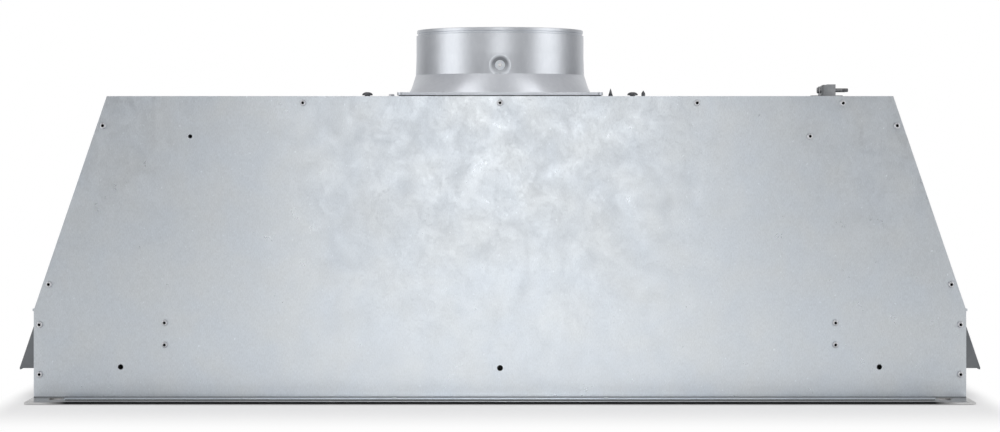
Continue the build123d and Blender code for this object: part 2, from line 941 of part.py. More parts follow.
with BuildPart() as damper_collar:
    # round-to-square foot, as a shell
    with BuildSketch(Plane.XY.offset(plate_top)):
        add(foot_section(collar_foot_width / 2, collar_foot_flat / 2, collar_foot_corner))
    with BuildSketch(Plane.XY.offset(flare_z)):
        add(foot_section(collar_foot_radius, collar_round_flat / 2, collar_foot_radius))
    loft(ruled=True)
    with BuildSketch(Plane.XY.offset(plate_top)):
        add(foot_section(foot_inside, collar_foot_flat / 2, collar_foot_corner - collar_sheet))
    with BuildSketch(Plane.XY.offset(flare_z)):
        add(foot_section(wall_inside, collar_round_flat / 2, wall_inside))
    loft(ruled=True, mode=Mode.SUBTRACT)
    # round body, groove and rim
    with BuildSketch(Plane.XZ):
        Polygon(
            (collar_foot_radius, flare_z),
            (collar_radius, body_z),
            (collar_radius, groove_z),
            (collar_groove_radius, groove_z + collar_sheet),
            (collar_groove_radius, rim_z - collar_sheet),
            (collar_rim_radius, rim_z),
            (collar_rim_radius, rim_top - collar_sheet / 2),
            (collar_rim_radius - collar_sheet / 2, rim_top),
            (collar_rim_radius - collar_sheet, rim_top),
            (collar_rim_radius - collar_sheet, rim_z),
            (collar_groove_radius - collar_sheet, rim_z - collar_sheet),
            (collar_groove_radius - collar_sheet, groove_z + collar_sheet),
            (collar_radius - collar_sheet, groove_z),
            (collar_radius - collar_sheet, body_z),
            (collar_foot_radius - collar_sheet, flare_z),
            align=None,
        )
    revolve(axis=Axis.Z)
    # foot plate, its edges turned down
    with BuildSketch(Plane.XY.offset(plate_top)):
        RectangleRounded(collar_plate_width, collar_plate_width, collar_plate_corner)
    extrude(amount=-collar_plate_drop)
    with BuildSketch(Plane.XY.offset(plate_top - collar_sheet)):
        RectangleRounded(
            collar_plate_width - 2 * collar_sheet,
            collar_plate_width - 2 * collar_sheet,
            collar_plate_corner - collar_sheet,
        )
    extrude(amount=collar_sheet - collar_plate_drop, mode=Mode.SUBTRACT)
    with BuildSketch(Plane.XY.offset(plate_top - collar_sheet)):
        add(foot_section(foot_inside, collar_foot_flat / 2, collar_foot_corner - collar_sheet))
    extrude(amount=collar_sheet, mode=Mode.SUBTRACT)
    with Locations(*[(x, y, plate_top) for x, y in foot_rivets]):
        Cylinder(rivet_shank / 2 + pin_gap, 2 * collar_sheet, mode=Mode.SUBTRACT)
    # cups for the damper's bushes, front and back
    cup_face = collar_foot_radius - damper_cup_sink
    for end in (-1, 1):
        cup_plane = Plane(origin=(0, end * cup_face, damper_z), x_dir=(1, 0, 0), z_dir=(0, end, 0))
        with BuildSketch(cup_plane):
            Circle(damper_cup / 2)
        extrude(amount=damper_cup_sink, mode=Mode.SUBTRACT)
        with BuildSketch(cup_plane):
            Circle(damper_cup / 2)
            Circle(damper_cup / 2 - collar_sheet, mode=Mode.SUBTRACT)
        extrude(amount=damper_cup_sink - collar_sheet / 2)
        with BuildSketch(cup_plane):
            Circle(damper_cup / 2)
            Circle(bush_neck + bush_hole_gap, mode=Mode.SUBTRACT)
        extrude(amount=-collar_sheet)
    # tabs that the flaps rest on
    stop_top = damper_z - flap_sheet / 2 - flap_stop_gap
    for side in (-1, 1):
        with Locations((side * (wall_inside - flap_stop_reach / 2), 0, stop_top - collar_sheet / 2)):
            Box(flap_stop_reach + collar_sheet / 2, flap_stop_width, collar_sheet)

damper_collar.part.label = "damper_collar"
export_step(damper_collar.part, "parts/damper_collar.step")

with BuildPart() as collar_gasket:
    with BuildSketch(Plane.XY.offset(top_z)):
        RectangleRounded(
            collar_plate_width - gasket_border, collar_plate_width - gasket_border, collar_plate_corner
        )
        RectangleRounded(outlet_width, outlet_depth, outlet_corner, mode=Mode.SUBTRACT)
        with Locations(*foot_rivets):
            Circle(rivet_shank / 2 + pin_gap, mode=Mode.SUBTRACT)
    extrude(amount=collar_plate_height - collar_sheet)

collar_gasket.part.label = "collar_gasket"
export_step(collar_gasket.part, "parts/collar_gasket.step")

# Axle, its bushes and the two flaps
bush_inside = cup_face - collar_sheet - bush_head
with BuildPart() as damper_axle:
    with BuildSketch(Plane.XZ):
        with Locations((0, damper_z)):
            Circle(axle_radius)
    extrude(amount=cup_face + bush_head * 0.7, both=True)

damper_axle.part.label = "damper_axle"
export_step(damper_axle.part, "parts/damper_axle.step")

with BuildPart() as damper_bushes:
    for end in (-1, 1):
        bush_plane = Plane(origin=(0, end * cup_face, damper_z), x_dir=(1, 0, 0), z_dir=(0, end, 0))
        with BuildSketch(bush_plane):
            Circle(bush_radius)
        extrude(amount=bush_head)
        with BuildSketch(bush_plane):
            Circle(bush_neck)
        extrude(amount=bush_inside - cup_face)
        with BuildSketch(bush_plane.offset(bush_head)):
            Circle(axle_radius + pin_gap)
        extrude(amount=bush_inside - cup_face - 2 * bush_head, mode=Mode.SUBTRACT)

damper_bushes.part.label = "damper_bushes"
export_step(damper_bushes.part, "parts/damper_bushes.step")

flap_radius = wall_inside - flap_edge_gap
flap_half_length = bush_inside - flap_end_gap
knuckle_pitch = 2 * flap_half_length / knuckle_count


def make_flap(side, first):
    """Half-round flap with every other knuckle round the axle."""
    knuckle_length = knuckle_pitch - knuckle_gap
    centres = [
        -flap_half_length + knuckle_pitch * (index + 0.5) for index in range(first, knuckle_count, 2)
    ]
    with BuildPart() as flap:
        with BuildSketch(Plane.XY.offset(damper_z - flap_sheet / 2)):
            Circle(flap_radius)
            with Locations((side * (flap_radius + flap_relief), 0)):
                Rectangle(2 * flap_radius, 2 * flap_half_length, mode=Mode.INTERSECT)
        extrude(amount=flap_sheet)
        for y in centres:
            with BuildSketch(Plane.XZ.offset(-y)):
                with Locations((0, damper_z)):
                    Circle(flap_knuckle)
                with Locations((side * flap_relief / 2, damper_z)):
                    Rectangle(flap_relief + flap_sheet, flap_sheet)
                with Locations((0, damper_z)):
                    Circle(flap_knuckle_bore, mode=Mode.SUBTRACT)
            extrude(amount=knuckle_length / 2, both=True)
    return flap.part


for side, hand, first in ((-1, "left", 0), (1, "right", 1)):
    damper_flap = make_flap(side, first)
    damper_flap.label = f"damper_flap_{hand}"
    export_step(damper_flap, f"parts/damper_flap_{hand}.step")
print("damper done, rim at", rim_top)


# ---- Blower

# Air space of the scroll: three quarter arcs that open out towards the front, and the outlet
scroll_first = wheel_radius + scroll_clearance + scroll_step / 2
shift = scroll_step / 2
cutoff = (wheel_y + shift, wheel_z - shift + scroll_first)
scroll_rear = (wheel_y + shift + scroll_first, wheel_z - shift)
scroll_low = (wheel_y - shift, wheel_z - shift - scroll_first - scroll_step)
scroll_front = (wheel_y - shift - scroll_first - 2 * scroll_step, wheel_z + shift)
outlet_top = top_under - sheet
diagonal = math.cos(math.radians(45))


def quarter_middle(centre, radius, across, up):
    """Middle point of a quarter arc."""
    return (centre[0] + across * radius * diagonal, centre[1] + up * radius * diagonal)


with BuildSketch() as scroll_air:
    with BuildLine():
        ThreePointArc(
            cutoff, quarter_middle((wheel_y + shift, wheel_z - shift), scroll_first, 1, 1), scroll_rear
        )
        ThreePointArc(
            scroll_rear,
            quarter_middle((wheel_y - shift, wheel_z - shift), scroll_first + scroll_step, 1, -1),
            scroll_low,
        )
        ThreePointArc(
            scroll_low,
            quarter_middle((wheel_y - shift, wheel_z + shift), scroll_first + 2 * scroll_step, -1, -1),
            scroll_front,
        )
        Polyline(scroll_front, (-outlet_depth / 2, outlet_top), (outlet_depth / 2, outlet_top), cutoff)
    make_face()

with BuildSketch() as scroll_outline:
    add(scroll_air.sketch)
    offset(amount=sheet)

with BuildPart() as blower_scroll:
    with BuildSketch(Plane.YZ):
        add(scroll_outline.sketch)
        add(scroll_air.sketch, mode=Mode.SUBTRACT)
    extrude(amount=scroll_half, both=True)
    with BuildSketch(Plane.XY.offset(outlet_top)):
        Rectangle(outlet_width, outlet_depth)
    extrude(amount=2 * sheet, mode=Mode.SUBTRACT)
    with BuildSketch(Plane.XY.offset(outlet_top)):
        Rectangle(outlet_width, outlet_depth + 2 * scroll_top_flange)
        Rectangle(outlet_width, outlet_depth, mode=Mode.SUBTRACT)
    extrude(amount=sheet)

blower_scroll.part.label = "blower_scroll"
export_step(blower_scroll.part, "parts/blower_scroll.step")


def grommet_places():
    """Places of the grommets round the wheel's axis, as (y, z)."""
    angles = [math.radians(-90 + 360 / spider_arm_count * arm) for arm in range(spider_arm_count)]
    return [(wheel_y + grommet_reach * math.cos(a), wheel_z + grommet_reach * math.sin(a)) for a in angles]


def make_blower_side(side):
    """Side plate with a drawn inlet mouth and a top edge turned outwards."""
    face = side * scroll_half
    with BuildPart() as plate:
        with BuildSketch(Plane.YZ.offset(face)):
            add(scroll_outline.sketch)
            with Locations((wheel_y, wheel_z)):
                Circle(inlet_radius, mode=Mode.SUBTRACT)
            if side > 0:
                with Locations(*grommet_places()):
                    Circle(grommet_pin + grommet_pin_gap, mode=Mode.SUBTRACT)
        extrude(amount=side * sheet)
        rim = wheel_z + inlet_radius
        throat = wheel_z + inlet_mouth
        waist = (rim + throat) / 2
        end = face - side * inlet_depth
        bend = face - side * inlet_depth / 3
        with BuildSketch(Plane.XZ.offset(-wheel_y)):
            with BuildLine():
                Line((face + side * sheet, rim), (face, rim + sheet))
                ThreePointArc((face, rim + sheet), (bend, waist + sheet / 2), (end, throat + sheet))
                Line((end, throat + sheet), (end, throat))
                ThreePointArc((end, throat), (bend, waist - sheet / 2), (face + side * sheet, rim))
            make_face()
        revolve(axis=Axis((0, wheel_y, wheel_z), (1, 0, 0)))
        with BuildSketch(Plane.XY.offset(top_under - sheet)):
            with Locations((face + side * (sheet + scroll_top_flange) / 2, 0)):
                Rectangle(sheet + scroll_top_flange, outlet_depth)
        extrude(amount=sheet)
    return plate.part


for side, hand in ((-1, "left"), (1, "right")):
    blower_side = make_blower_side(side)
    blower_side.label = f"blower_side_{hand}"
    export_step(blower_side, f"parts/blower_side_{hand}.step")

# Double wheel: a disc between two cages of leaning blades
with BuildSketch() as blade_shape:
    with BuildLine():
        ThreePointArc(
            (wheel_inner, 0),
            ((wheel_inner + wheel_radius) / 2 - 1, blade_lean / 10),
            (wheel_radius - blade_sheet, blade_lean / 3),
        )
    trace(line_width=blade_sheet)

with BuildPart() as blower_wheel:
    wheel_plane = Plane(origin=(0, wheel_y, wheel_z), x_dir=(0, 1, 0), z_dir=(1, 0, 0))
    with BuildSketch(wheel_plane.offset(-wheel_half)):
        with PolarLocations(0, blade_count):
            add(blade_shape.sketch)
    extrude(amount=2 * wheel_half)
    with BuildSketch(wheel_plane.offset(-wheel_disc / 2)):
        Circle(wheel_radius)
    extrude(amount=wheel_disc)
    with BuildSketch(wheel_plane.offset(-wheel_half), wheel_plane.offset(wheel_half - wheel_ring)):
        Circle(wheel_radius)
        Circle(wheel_inner, mode=Mode.SUBTRACT)
    extrude(amount=wheel_ring)
    with BuildSketch(wheel_plane.offset(-hub_half)):
        Circle(hub_radius)
    extrude(amount=2 * hub_half)
    with BuildSketch(wheel_plane.offset(-hub_half)):
        Circle(shaft_radius)
    extrude(amount=2 * hub_half, mode=Mode.SUBTRACT)

blower_wheel.part.label = "blower_wheel"
export_step(blower_wheel.part, "parts/blower_wheel.step")

spider_x = blower_face + spider_offset
with BuildPart() as motor_shaft:
    with BuildSketch(wheel_plane.offset(-hub_half - sheet)):
        Circle(shaft_radius)
    extrude(amount=spider_x + spider_sheet + hub_half + 2 * sheet)
    chamfer(motor_shaft.edges().filter_by(GeomType.CIRCLE), sheet)

motor_shaft.part.label = "motor_shaft"
export_step(motor_shaft.part, "parts/motor_shaft.step")

with BuildPart() as motor_housing:
    with BuildSketch(wheel_plane.offset(motor_start)):
        Circle(motor_radius - motor_fin)
        with PolarLocations(motor_radius - motor_fin, motor_fin_count):
            Rectangle(2 * motor_fin, motor_fin)
    extrude(amount=spider_x - motor_start)
    with BuildSketch(wheel_plane.offset(motor_start - motor_boss_height + sheet)):
        Circle(motor_boss / 2)
    extrude(amount=motor_boss_height)
    with BuildSketch(wheel_plane):
        Circle(shaft_radius + shaft_run)
    extrude(amount=spider_x, mode=Mode.SUBTRACT)

motor_housing.part.label = "motor_housing"
export_step(motor_housing.part, "parts/motor_housing.step")

# Spider that carries the motor, on pins through three grommets
with BuildPart() as motor_bracket:
    with BuildSketch(wheel_plane.offset(spider_x)):
        Circle(spider_ring / 2)
        with PolarLocations(0, spider_arm_count, start_angle=-90):
            with Locations(((grommet_reach + grommet_radius) / 2, 0)):
                Rectangle(grommet_reach + grommet_radius, spider_arm)
        Circle(spider_hole / 2, mode=Mode.SUBTRACT)
    extrude(amount=spider_sheet)
    with BuildSketch(wheel_plane.offset(spider_x)):
        with PolarLocations(grommet_reach, spider_arm_count, start_angle=-90):
            Circle(grommet_pin)
    extrude(amount=-spider_offset - sheet)

motor_bracket.part.label = "motor_bracket"
export_step(motor_bracket.part, "parts/motor_bracket.step")

with BuildPart() as motor_grommets:
    with BuildSketch(wheel_plane.offset(blower_face)):
        with PolarLocations(grommet_reach, spider_arm_count, start_angle=-90):
            Circle(grommet_radius)
            Circle(grommet_pin + grommet_pin_gap, mode=Mode.SUBTRACT)
    extrude(amount=spider_offset)

motor_grommets.part.label = "motor_grommets"
export_step(motor_grommets.part, "parts/motor_grommets.step")

# Angle brackets that hang the blower from the flat top
with BuildPart() as blower_brackets:
    for side in (-1, 1):
        root_x = side * blower_face
        step_x = side * (blower_face + scroll_top_flange)
        end_x = side * (blower_face + hanger_reach)
        with BuildSketch(Plane.XZ):
            Polygon(
                (root_x, top_under - hanger_drop),
                (root_x, top_under - sheet),
                (step_x, top_under - sheet),
                (step_x, top_under),
                (end_x, top_under),
                (end_x, top_under - hanger_sheet - sheet),
                (root_x + side * hanger_sheet, top_under - hanger_sheet - sheet),
                (root_x + side * hanger_sheet, top_under - hanger_drop),
                align=None,
            )
        extrude(amount=hanger_depth / 2, both=True)
    with BuildSketch(Plane.XY.offset(top_under)):
        add(top_screw_holes.sketch)
    extrude(amount=-hanger_sheet - 2 * sheet, mode=Mode.SUBTRACT)

blower_brackets.part.label = "blower_brackets"
export_step(blower_brackets.part, "parts/blower_brackets.step")
print("blower done")


# ---- Fasteners on the flat top

under_hanger = top_under - hanger_sheet - sheet


def draw_tip(radius, height):
    """Half outline of a screw driven from below: head, shank and a point that stands up."""
    Polygon(
        (0, under_hanger - tip_head_height),
        (radius + tip_head_border, under_hanger - tip_head_height),
        (radius + tip_head_border, under_hanger),
        (radius, under_hanger),
        (radius, top_z + tip_thread_height),
        (0, top_z + height),
        align=None,
    )


with BuildPart() as tip_screw:
    with BuildSketch(Plane.XZ):
        draw_tip(tip_screw_radius, tip_screw_height)
    revolve(axis=Axis.Z)

with BuildPart() as thin_tip_screw:
    with BuildSketch(Plane.XZ):
        draw_tip(thin_tip_radius, thin_tip_height)
    revolve(axis=Axis.Z)

# Domed shoulder screw
with BuildPart() as dome_screw:
    with BuildSketch(Plane.XZ):
        with BuildLine():
            RadiusArc((dome_radius, dome_neck_height), (0, dome_neck_height + dome_height), -dome_arc)
            Polyline(
                (dome_radius, dome_neck_height),
                (dome_neck, dome_neck_height),
                (dome_neck, 0),
                (dome_shank, 0),
                (dome_shank, -dome_reach),
                (0, -dome_reach),
                (0, dome_neck_height + dome_height),
            )
        make_face()
    revolve(axis=Axis.Z)
    with BuildSketch(Plane.XY.offset(dome_neck_height + dome_height)):
        Rectangle(recess_width, recess_slot)
        Rectangle(recess_slot, recess_width)
    extrude(amount=-recess_depth, mode=Mode.SUBTRACT)

with BuildPart() as small_screw:
    Cylinder(small_screw_head / 2, small_screw_height, align=(Align.CENTER, Align.CENTER, Align.MIN))
    fillet(small_screw.edges().sort_by(Axis.Z)[-1], small_screw_head * 0.15)
    Cylinder(small_screw_shank, dome_reach, align=(Align.CENTER, Align.CENTER, Align.MAX))

with BuildPart() as foot_rivet:
    Cylinder(rivet_head / 2, rivet_head_height, align=(Align.CENTER, Align.CENTER, Align.MIN))
    fillet(foot_rivet.edges().sort_by(Axis.Z)[-1], rivet_head_height * 0.6)
    Cylinder(rivet_shank / 2, collar_plate_height, align=(Align.CENTER, Align.CENTER, Align.MAX))

with BuildPart() as top_fasteners:
    with Locations(*[(x, y, top_z) for x, y in dome_screws]):
        add(dome_screw.part)
    with Locations(*[(x, y, top_z) for x, y in small_screws]):
        add(small_screw.part)
    with Locations(*tip_screws):
        add(tip_screw.part)
    with Locations(*thin_tips):
        add(thin_tip_screw.part)
    with Locations(*[(x, y, plate_top) for x, y in foot_rivets]):
        add(foot_rivet.part)
    with BuildSketch(Plane.XY.offset(top_under - sheet)):
        with Locations((box_centre_x, clamp_y)):
            RegularPolygon(locknut_radius, 8)
            Circle(clamp_nipple + locknut_gap, mode=Mode.SUBTRACT)
    extrude(amount=-locknut_height)

top_fasteners.part.label = "top_fasteners"
export_step(top_fasteners.part, "parts/top_fasteners.step")


# ---- Wiring box and cable clamp

with BuildPart() as wiring_box:
    with BuildSketch(Plane.XY.offset(box_under)):
        with Locations((box_centre_x, box_front + sheet + box_depth / 2)):
            Rectangle(box_width, box_depth)
    extrude(amount=box_height)
    with BuildSketch(Plane.XY.offset(box_under)):
        with Locations((box_centre_x, box_front + sheet + box_depth / 2)):
            Rectangle(box_width - 2 * sheet, box_depth - 2 * sheet)
    extrude(amount=box_height - sheet, mode=Mode.SUBTRACT)
    with BuildSketch(Plane.XY.offset(top_under)):
        with Locations((box_centre_x, clamp_y)):
            Circle(clamp_nipple + clamp_nipple_gap)
    extrude(amount=-sheet, mode=Mode.SUBTRACT)
    with BuildSketch(front_plane):
        with Locations(*box_screws):
            Circle(screw_hole / 2)
    extrude(amount=-3 * sheet, mode=Mode.SUBTRACT)

wiring_box.part.label = "wiring_box"
export_step(wiring_box.part, "parts/wiring_box.step")

with BuildPart() as wiring_box_cover:
    with BuildSketch(Plane.XY.offset(box_under)):
        with Locations((box_centre_x, box_front + sheet + box_depth / 2)):
            Rectangle(box_width, box_depth)
    extrude(amount=-sheet)
    with BuildSketch(Plane.XY.offset(box_under)):
        with Locations((box_centre_x, box_front + sheet + box_depth / 2)):
            Rectangle(box_width - 2 * sheet - box_cover_gap, box_depth - 2 * sheet - box_cover_gap)
            offset(amount=-sheet, mode=Mode.SUBTRACT)
    extrude(amount=box_cover_lip)

wiring_box_cover.part.label = "wiring_box_cover"
export_step(wiring_box_cover.part, "parts/wiring_box_cover.step")

box_back = box_front + box_depth
with BuildPart() as terminal_block:
    with BuildSketch(Plane.XY.offset(box_under + terminal_rise)):
        with Locations((box_centre_x, box_back - terminal_depth / 2)):
            Rectangle(terminal_width, terminal_depth)
    extrude(amount=terminal_height)
    with BuildSketch(Plane.XZ.offset(terminal_depth - box_back)):
        with Locations((box_centre_x, box_under + terminal_rise + terminal_height / 2)):
            with GridLocations(terminal_width / terminal_ways, terminal_height / 2, terminal_ways, 2):
                Circle(terminal_hole / 2)
    extrude(amount=-terminal_depth / 2, mode=Mode.SUBTRACT)

terminal_block.part.label = "terminal_block"
export_step(terminal_block.part, "parts/terminal_block.step")

# Connector: foot, nipple through the sheet, and a cage that is open towards the saddle
clamp_left = box_centre_x - clamp_width / 2
clamp_right = box_centre_x + clamp_width / 2
clamp_floor = top_z + clamp_foot_height
clamp_axis = top_z + clamp_axis_rise
cage_left = clamp_left + saddle_sheet
# The screw heads follow the saddle in between the cage's cheeks
clamp_screw_y = clamp_length / 2 - clamp_wall - saddle_gap - clamp_screw_head
clamp_screw_places = [(clamp_y + end * clamp_screw_y, clamp_axis) for end in (-1, 1)]

with BuildPart() as cable_clamp_body:
    with BuildSketch(Plane.XY.offset(top_z)):
        with Locations((box_centre_x, clamp_y)):
            Circle(clamp_foot)
    extrude(amount=clamp_foot_height)
    with BuildSketch(Plane.XZ.offset(-clamp_y)):
        with BuildLine():
            Polyline(
                (cage_left, clamp_floor),
                (clamp_right, clamp_floor),
                (clamp_right, top_z + clamp_height),
                (box_centre_x, top_z + clamp_height),
            )
            ThreePointArc(
                (box_centre_x, top_z + clamp_height),
                ((box_centre_x + cage_left) / 2 - 1, top_z + clamp_height - 1),
                (cage_left, top_z + clamp_shoulder),
            )
            Line((cage_left, top_z + clamp_shoulder), (cage_left, clamp_floor))
        make_face()
    extrude(amount=clamp_length / 2, both=True)
    with BuildSketch(Plane.XY.offset(clamp_floor)):
        with Locations(((cage_left + clamp_right - clamp_wall) / 2, clamp_y)):
            Rectangle(clamp_right - clamp_wall - cage_left, clamp_length - 2 * clamp_wall)
    extrude(amount=clamp_height, mode=Mode.SUBTRACT)
    with BuildSketch(Plane.YZ.offset(clamp_right)):
        with Locations(*clamp_screw_places):
            Circle(clamp_screw + clamp_screw_gap)
    extrude(amount=-clamp_wall, mode=Mode.SUBTRACT)
    with BuildSketch(Plane.XY.offset(top_z)):
        with Locations((box_centre_x, clamp_y)):
            Circle(clamp_nipple)
    extrude(amount=-clamp_nipple_length)
    with BuildSketch(Plane.XY.offset(clamp_floor)):
        with Locations((box_centre_x, clamp_y)):
            Circle(clamp_bore)
    extrude(amount=-clamp_nipple_length - clamp_foot_height, mode=Mode.SUBTRACT)

cable_clamp_body.part.label = "cable_clamp_body"
export_step(cable_clamp_body.part, "parts/cable_clamp_body.step")

with BuildPart() as cable_clamp_saddle:
    with BuildSketch(Plane.YZ.offset(clamp_left)):
        with Locations((clamp_y, clamp_floor + saddle_gap + saddle_height / 2)):
            Rectangle(clamp_length - 2 * clamp_wall - 2 * saddle_gap, saddle_height)
        with Locations(*clamp_screw_places):
            Circle(clamp_screw + clamp_screw_gap, mode=Mode.SUBTRACT)
    extrude(amount=saddle_sheet)

cable_clamp_saddle.part.label = "cable_clamp_saddle"
export_step(cable_clamp_saddle.part, "parts/cable_clamp_saddle.step")

with BuildPart() as cable_clamp_screws:
    with BuildSketch(Plane.YZ.offset(clamp_left)):
        with Locations(*clamp_screw_places):
            Circle(clamp_screw)
    extrude(amount=clamp_screw_length)
    chamfer(cable_clamp_screws.edges().sort_by(Axis.X)[-2:], clamp_screw / 4)
    with BuildSketch(Plane.YZ.offset(clamp_left)):
        with Locations(*clamp_screw_places):
            Circle(clamp_screw_head)
    extrude(amount=-clamp_screw_head_height)

cable_clamp_screws.part.label = "cable_clamp_screws"
export_step(cable_clamp_screws.part, "parts/cable_clamp_screws.step")

# Capacitor standing on the service cover, held by its stud
with BuildPart() as capacitor:
    with BuildSketch(Plane.XY.offset(service_z + sheet)):
        with Locations((capacitor_x, service_y)):
            Circle(capacitor_radius)
    extrude(amount=capacitor_height)
    fillet(capacitor.edges().filter_by(GeomType.CIRCLE), sheet)
    with BuildSketch(Plane.XY.offset(service_z + sheet + capacitor_height)):
        with Locations((capacitor_x, service_y)):
            with GridLocations(capacitor_radius, capacitor_radius, 2, 1):
                Rectangle(frame_sheet, capacitor_tab)
    extrude(amount=capacitor_tab)
    with BuildSketch(Plane.XY.offset(service_z + sheet)):
        with Locations((capacitor_x, service_y)):
            Circle(capacitor_stud)
    extrude(amount=-capacitor_nut_height - 2 * sheet)
    with BuildSketch(Plane.XY.offset(service_z)):
        with Locations((capacitor_x, service_y)):
            RegularPolygon(capacitor_nut, 6)
    extrude(amount=-capacitor_nut_height)

capacitor.part.label = "capacitor"
export_step(capacitor.part, "parts/capacitor.step")
print("electrics done")


# ---- Lamps and push buttons

frame_under = frame_top - frame_sheet
lens_low = frame_under - lamp_bezel_height + lamp_lens_recess


def make_lamp(x):
    """Lamp body: bezel under the frame, a cup for the lens, fins above."""
    with BuildPart() as lamp:
        with BuildSketch(Plane.XY.offset(frame_under)):
            with Locations((x, service_y)):
                Circle(lamp_bezel / 2)
        extrude(amount=-lamp_bezel_height)
        with BuildSketch(Plane.XY.offset(frame_under)):
            with Locations((x, service_y)):
                Circle(lamp_body / 2)
        extrude(amount=lamp_height)
        with BuildSketch(Plane.XY.offset(frame_under - lamp_bezel_height)):
            with Locations((x, service_y)):
                Circle(lamp_lens / 2 + button_gap)
        extrude(amount=lamp_lens_recess + lamp_lens_height + button_gap, mode=Mode.SUBTRACT)
        with BuildSketch(Plane.XY.offset(frame_under + lamp_height)):
            with Locations((x, service_y)):
                with GridLocations(lamp_fin_pitch, 0, int(lamp_body / lamp_fin_pitch), 1):
                    Rectangle(lamp_fin_pitch - lamp_fin, lamp_body)
        extrude(amount=-lamp_fin_depth, mode=Mode.SUBTRACT)
    return lamp.part


for x, hand in ((-lamp_x, "left"), (lamp_x, "right")):
    lamp_part = make_lamp(x)
    lamp_part.label = f"lamp_{hand}"
    export_step(lamp_part, f"parts/lamp_{hand}.step")

with BuildPart() as lamp_lenses:
    with BuildSketch(Plane.XY.offset(lens_low)):
        with Locations((-lamp_x, service_y), (lamp_x, service_y)):
            Circle(lamp_lens / 2)
    extrude(amount=lamp_lens_height)
    chamfer(lamp_lenses.edges().group_by(Axis.Z)[0], lamp_lens_recess)

lamp_lenses.part.label = "lamp_lenses"
export_step(lamp_lenses.part, "parts/lamp_lenses.step")

roof_under = frame_under + control_recess
roof_top = roof_under + control_roof
button_places = [
    (button_pitch * (index - (len(button_names) - 1) / 2), service_y) for index in range(len(button_names))
]
tray_width = control_width - 2 * control_fit
tray_depth = control_depth - 2 * control_fit

with BuildPart() as control_bezel:
    with BuildSketch(Plane.XY.offset(frame_under)):
        with Locations((0, service_y)):
            Rectangle(control_width, control_depth)
            offset(amount=control_border)
    extrude(amount=-control_bezel_sheet)
    with BuildSketch(Plane.XY.offset(frame_under)):
        with Locations((0, service_y)):
            Rectangle(tray_width, tray_depth)
    extrude(amount=control_recess + control_roof)
    with BuildSketch(Plane.XY.offset(frame_under - control_bezel_sheet)):
        with Locations((0, service_y)):
            Rectangle(tray_width - 2 * control_roof, tray_depth - 2 * control_roof)
    extrude(amount=control_recess + control_bezel_sheet, mode=Mode.SUBTRACT)
    with BuildSketch(Plane.XY.offset(roof_under)):
        with Locations(*button_places):
            Rectangle(button_width + 2 * button_gap, button_depth + 2 * button_gap)
    extrude(amount=control_roof, mode=Mode.SUBTRACT)

control_bezel.part.label = "control_bezel"
export_step(control_bezel.part, "parts/control_bezel.step")

flange_low = roof_top + button_gap
stem_top = flange_low + button_flange_height + button_flange
switch_low = stem_top + button_travel + button_gap


def make_button(place):
    """Button cap, its flange behind the bezel and the stem under the switch."""
    with BuildPart() as button:
        with BuildSketch(Plane.XY.offset(button_face)):
            with Locations(place):
                Rectangle(button_width, button_depth)
        extrude(amount=flange_low - button_face)
        chamfer(button.edges().group_by(Axis.Z)[0], button_gap)
        with BuildSketch(Plane.XY.offset(flange_low)):
            with Locations(place):
                Rectangle(button_width + 2 * button_flange, button_depth + 2 * button_flange)
        extrude(amount=button_flange_height)
        with BuildSketch(Plane.XY.offset(flange_low + button_flange_height)):
            with Locations(place):
                Circle(button_stem / 2)
        extrude(amount=button_flange)
    return button.part


for name, place in zip(button_names, button_places):
    button_part = make_button(place)
    button_part.label = f"button_{name}"
    export_step(button_part, f"parts/button_{name}.step")

with BuildPart() as switch_block:
    with BuildSketch(Plane.XY.offset(switch_low)):
        with Locations((0, service_y)):
            Rectangle(tray_width, tray_depth)
    extrude(amount=switch_height)
    with BuildSketch(Plane.XY.offset(roof_top)):
        with Locations((0, service_y)):
            with GridLocations(tray_width - switch_leg, 0, 2, 1):
                Rectangle(switch_leg, tray_depth)
    extrude(amount=switch_low - roof_top)

switch_block.part.label = "switch_block"
export_step(switch_block.part, "parts/switch_block.step")


# ---- Baffle filters, drawn in their own sloping plane

clear_width = 2 * (half_recess - filter_side_gap)
filter_width = (clear_width - filter_gap * (filter_count - 1)) / filter_count
filter_pitch = filter_width + filter_gap
filter_middle = (filter_overhang + filter_front) / 2
window_x = filter_width - 2 * filter_rail
window_y = filter_length - 2 * filter_rail
baffle_pitch = window_x / baffle_count
baffle_width = baffle_pitch - baffle_slot
baffle_length = window_y + 2 * baffle_seat
latch_rivet_y = filter_front + filter_rail / 2


def latch_rivet_places(centre_x):
    """Shoulder rivets that guide the latch strip."""
    return [(centre_x + side * latch_rivet_pitch / 2, latch_rivet_y) for side in (-1, 1)]


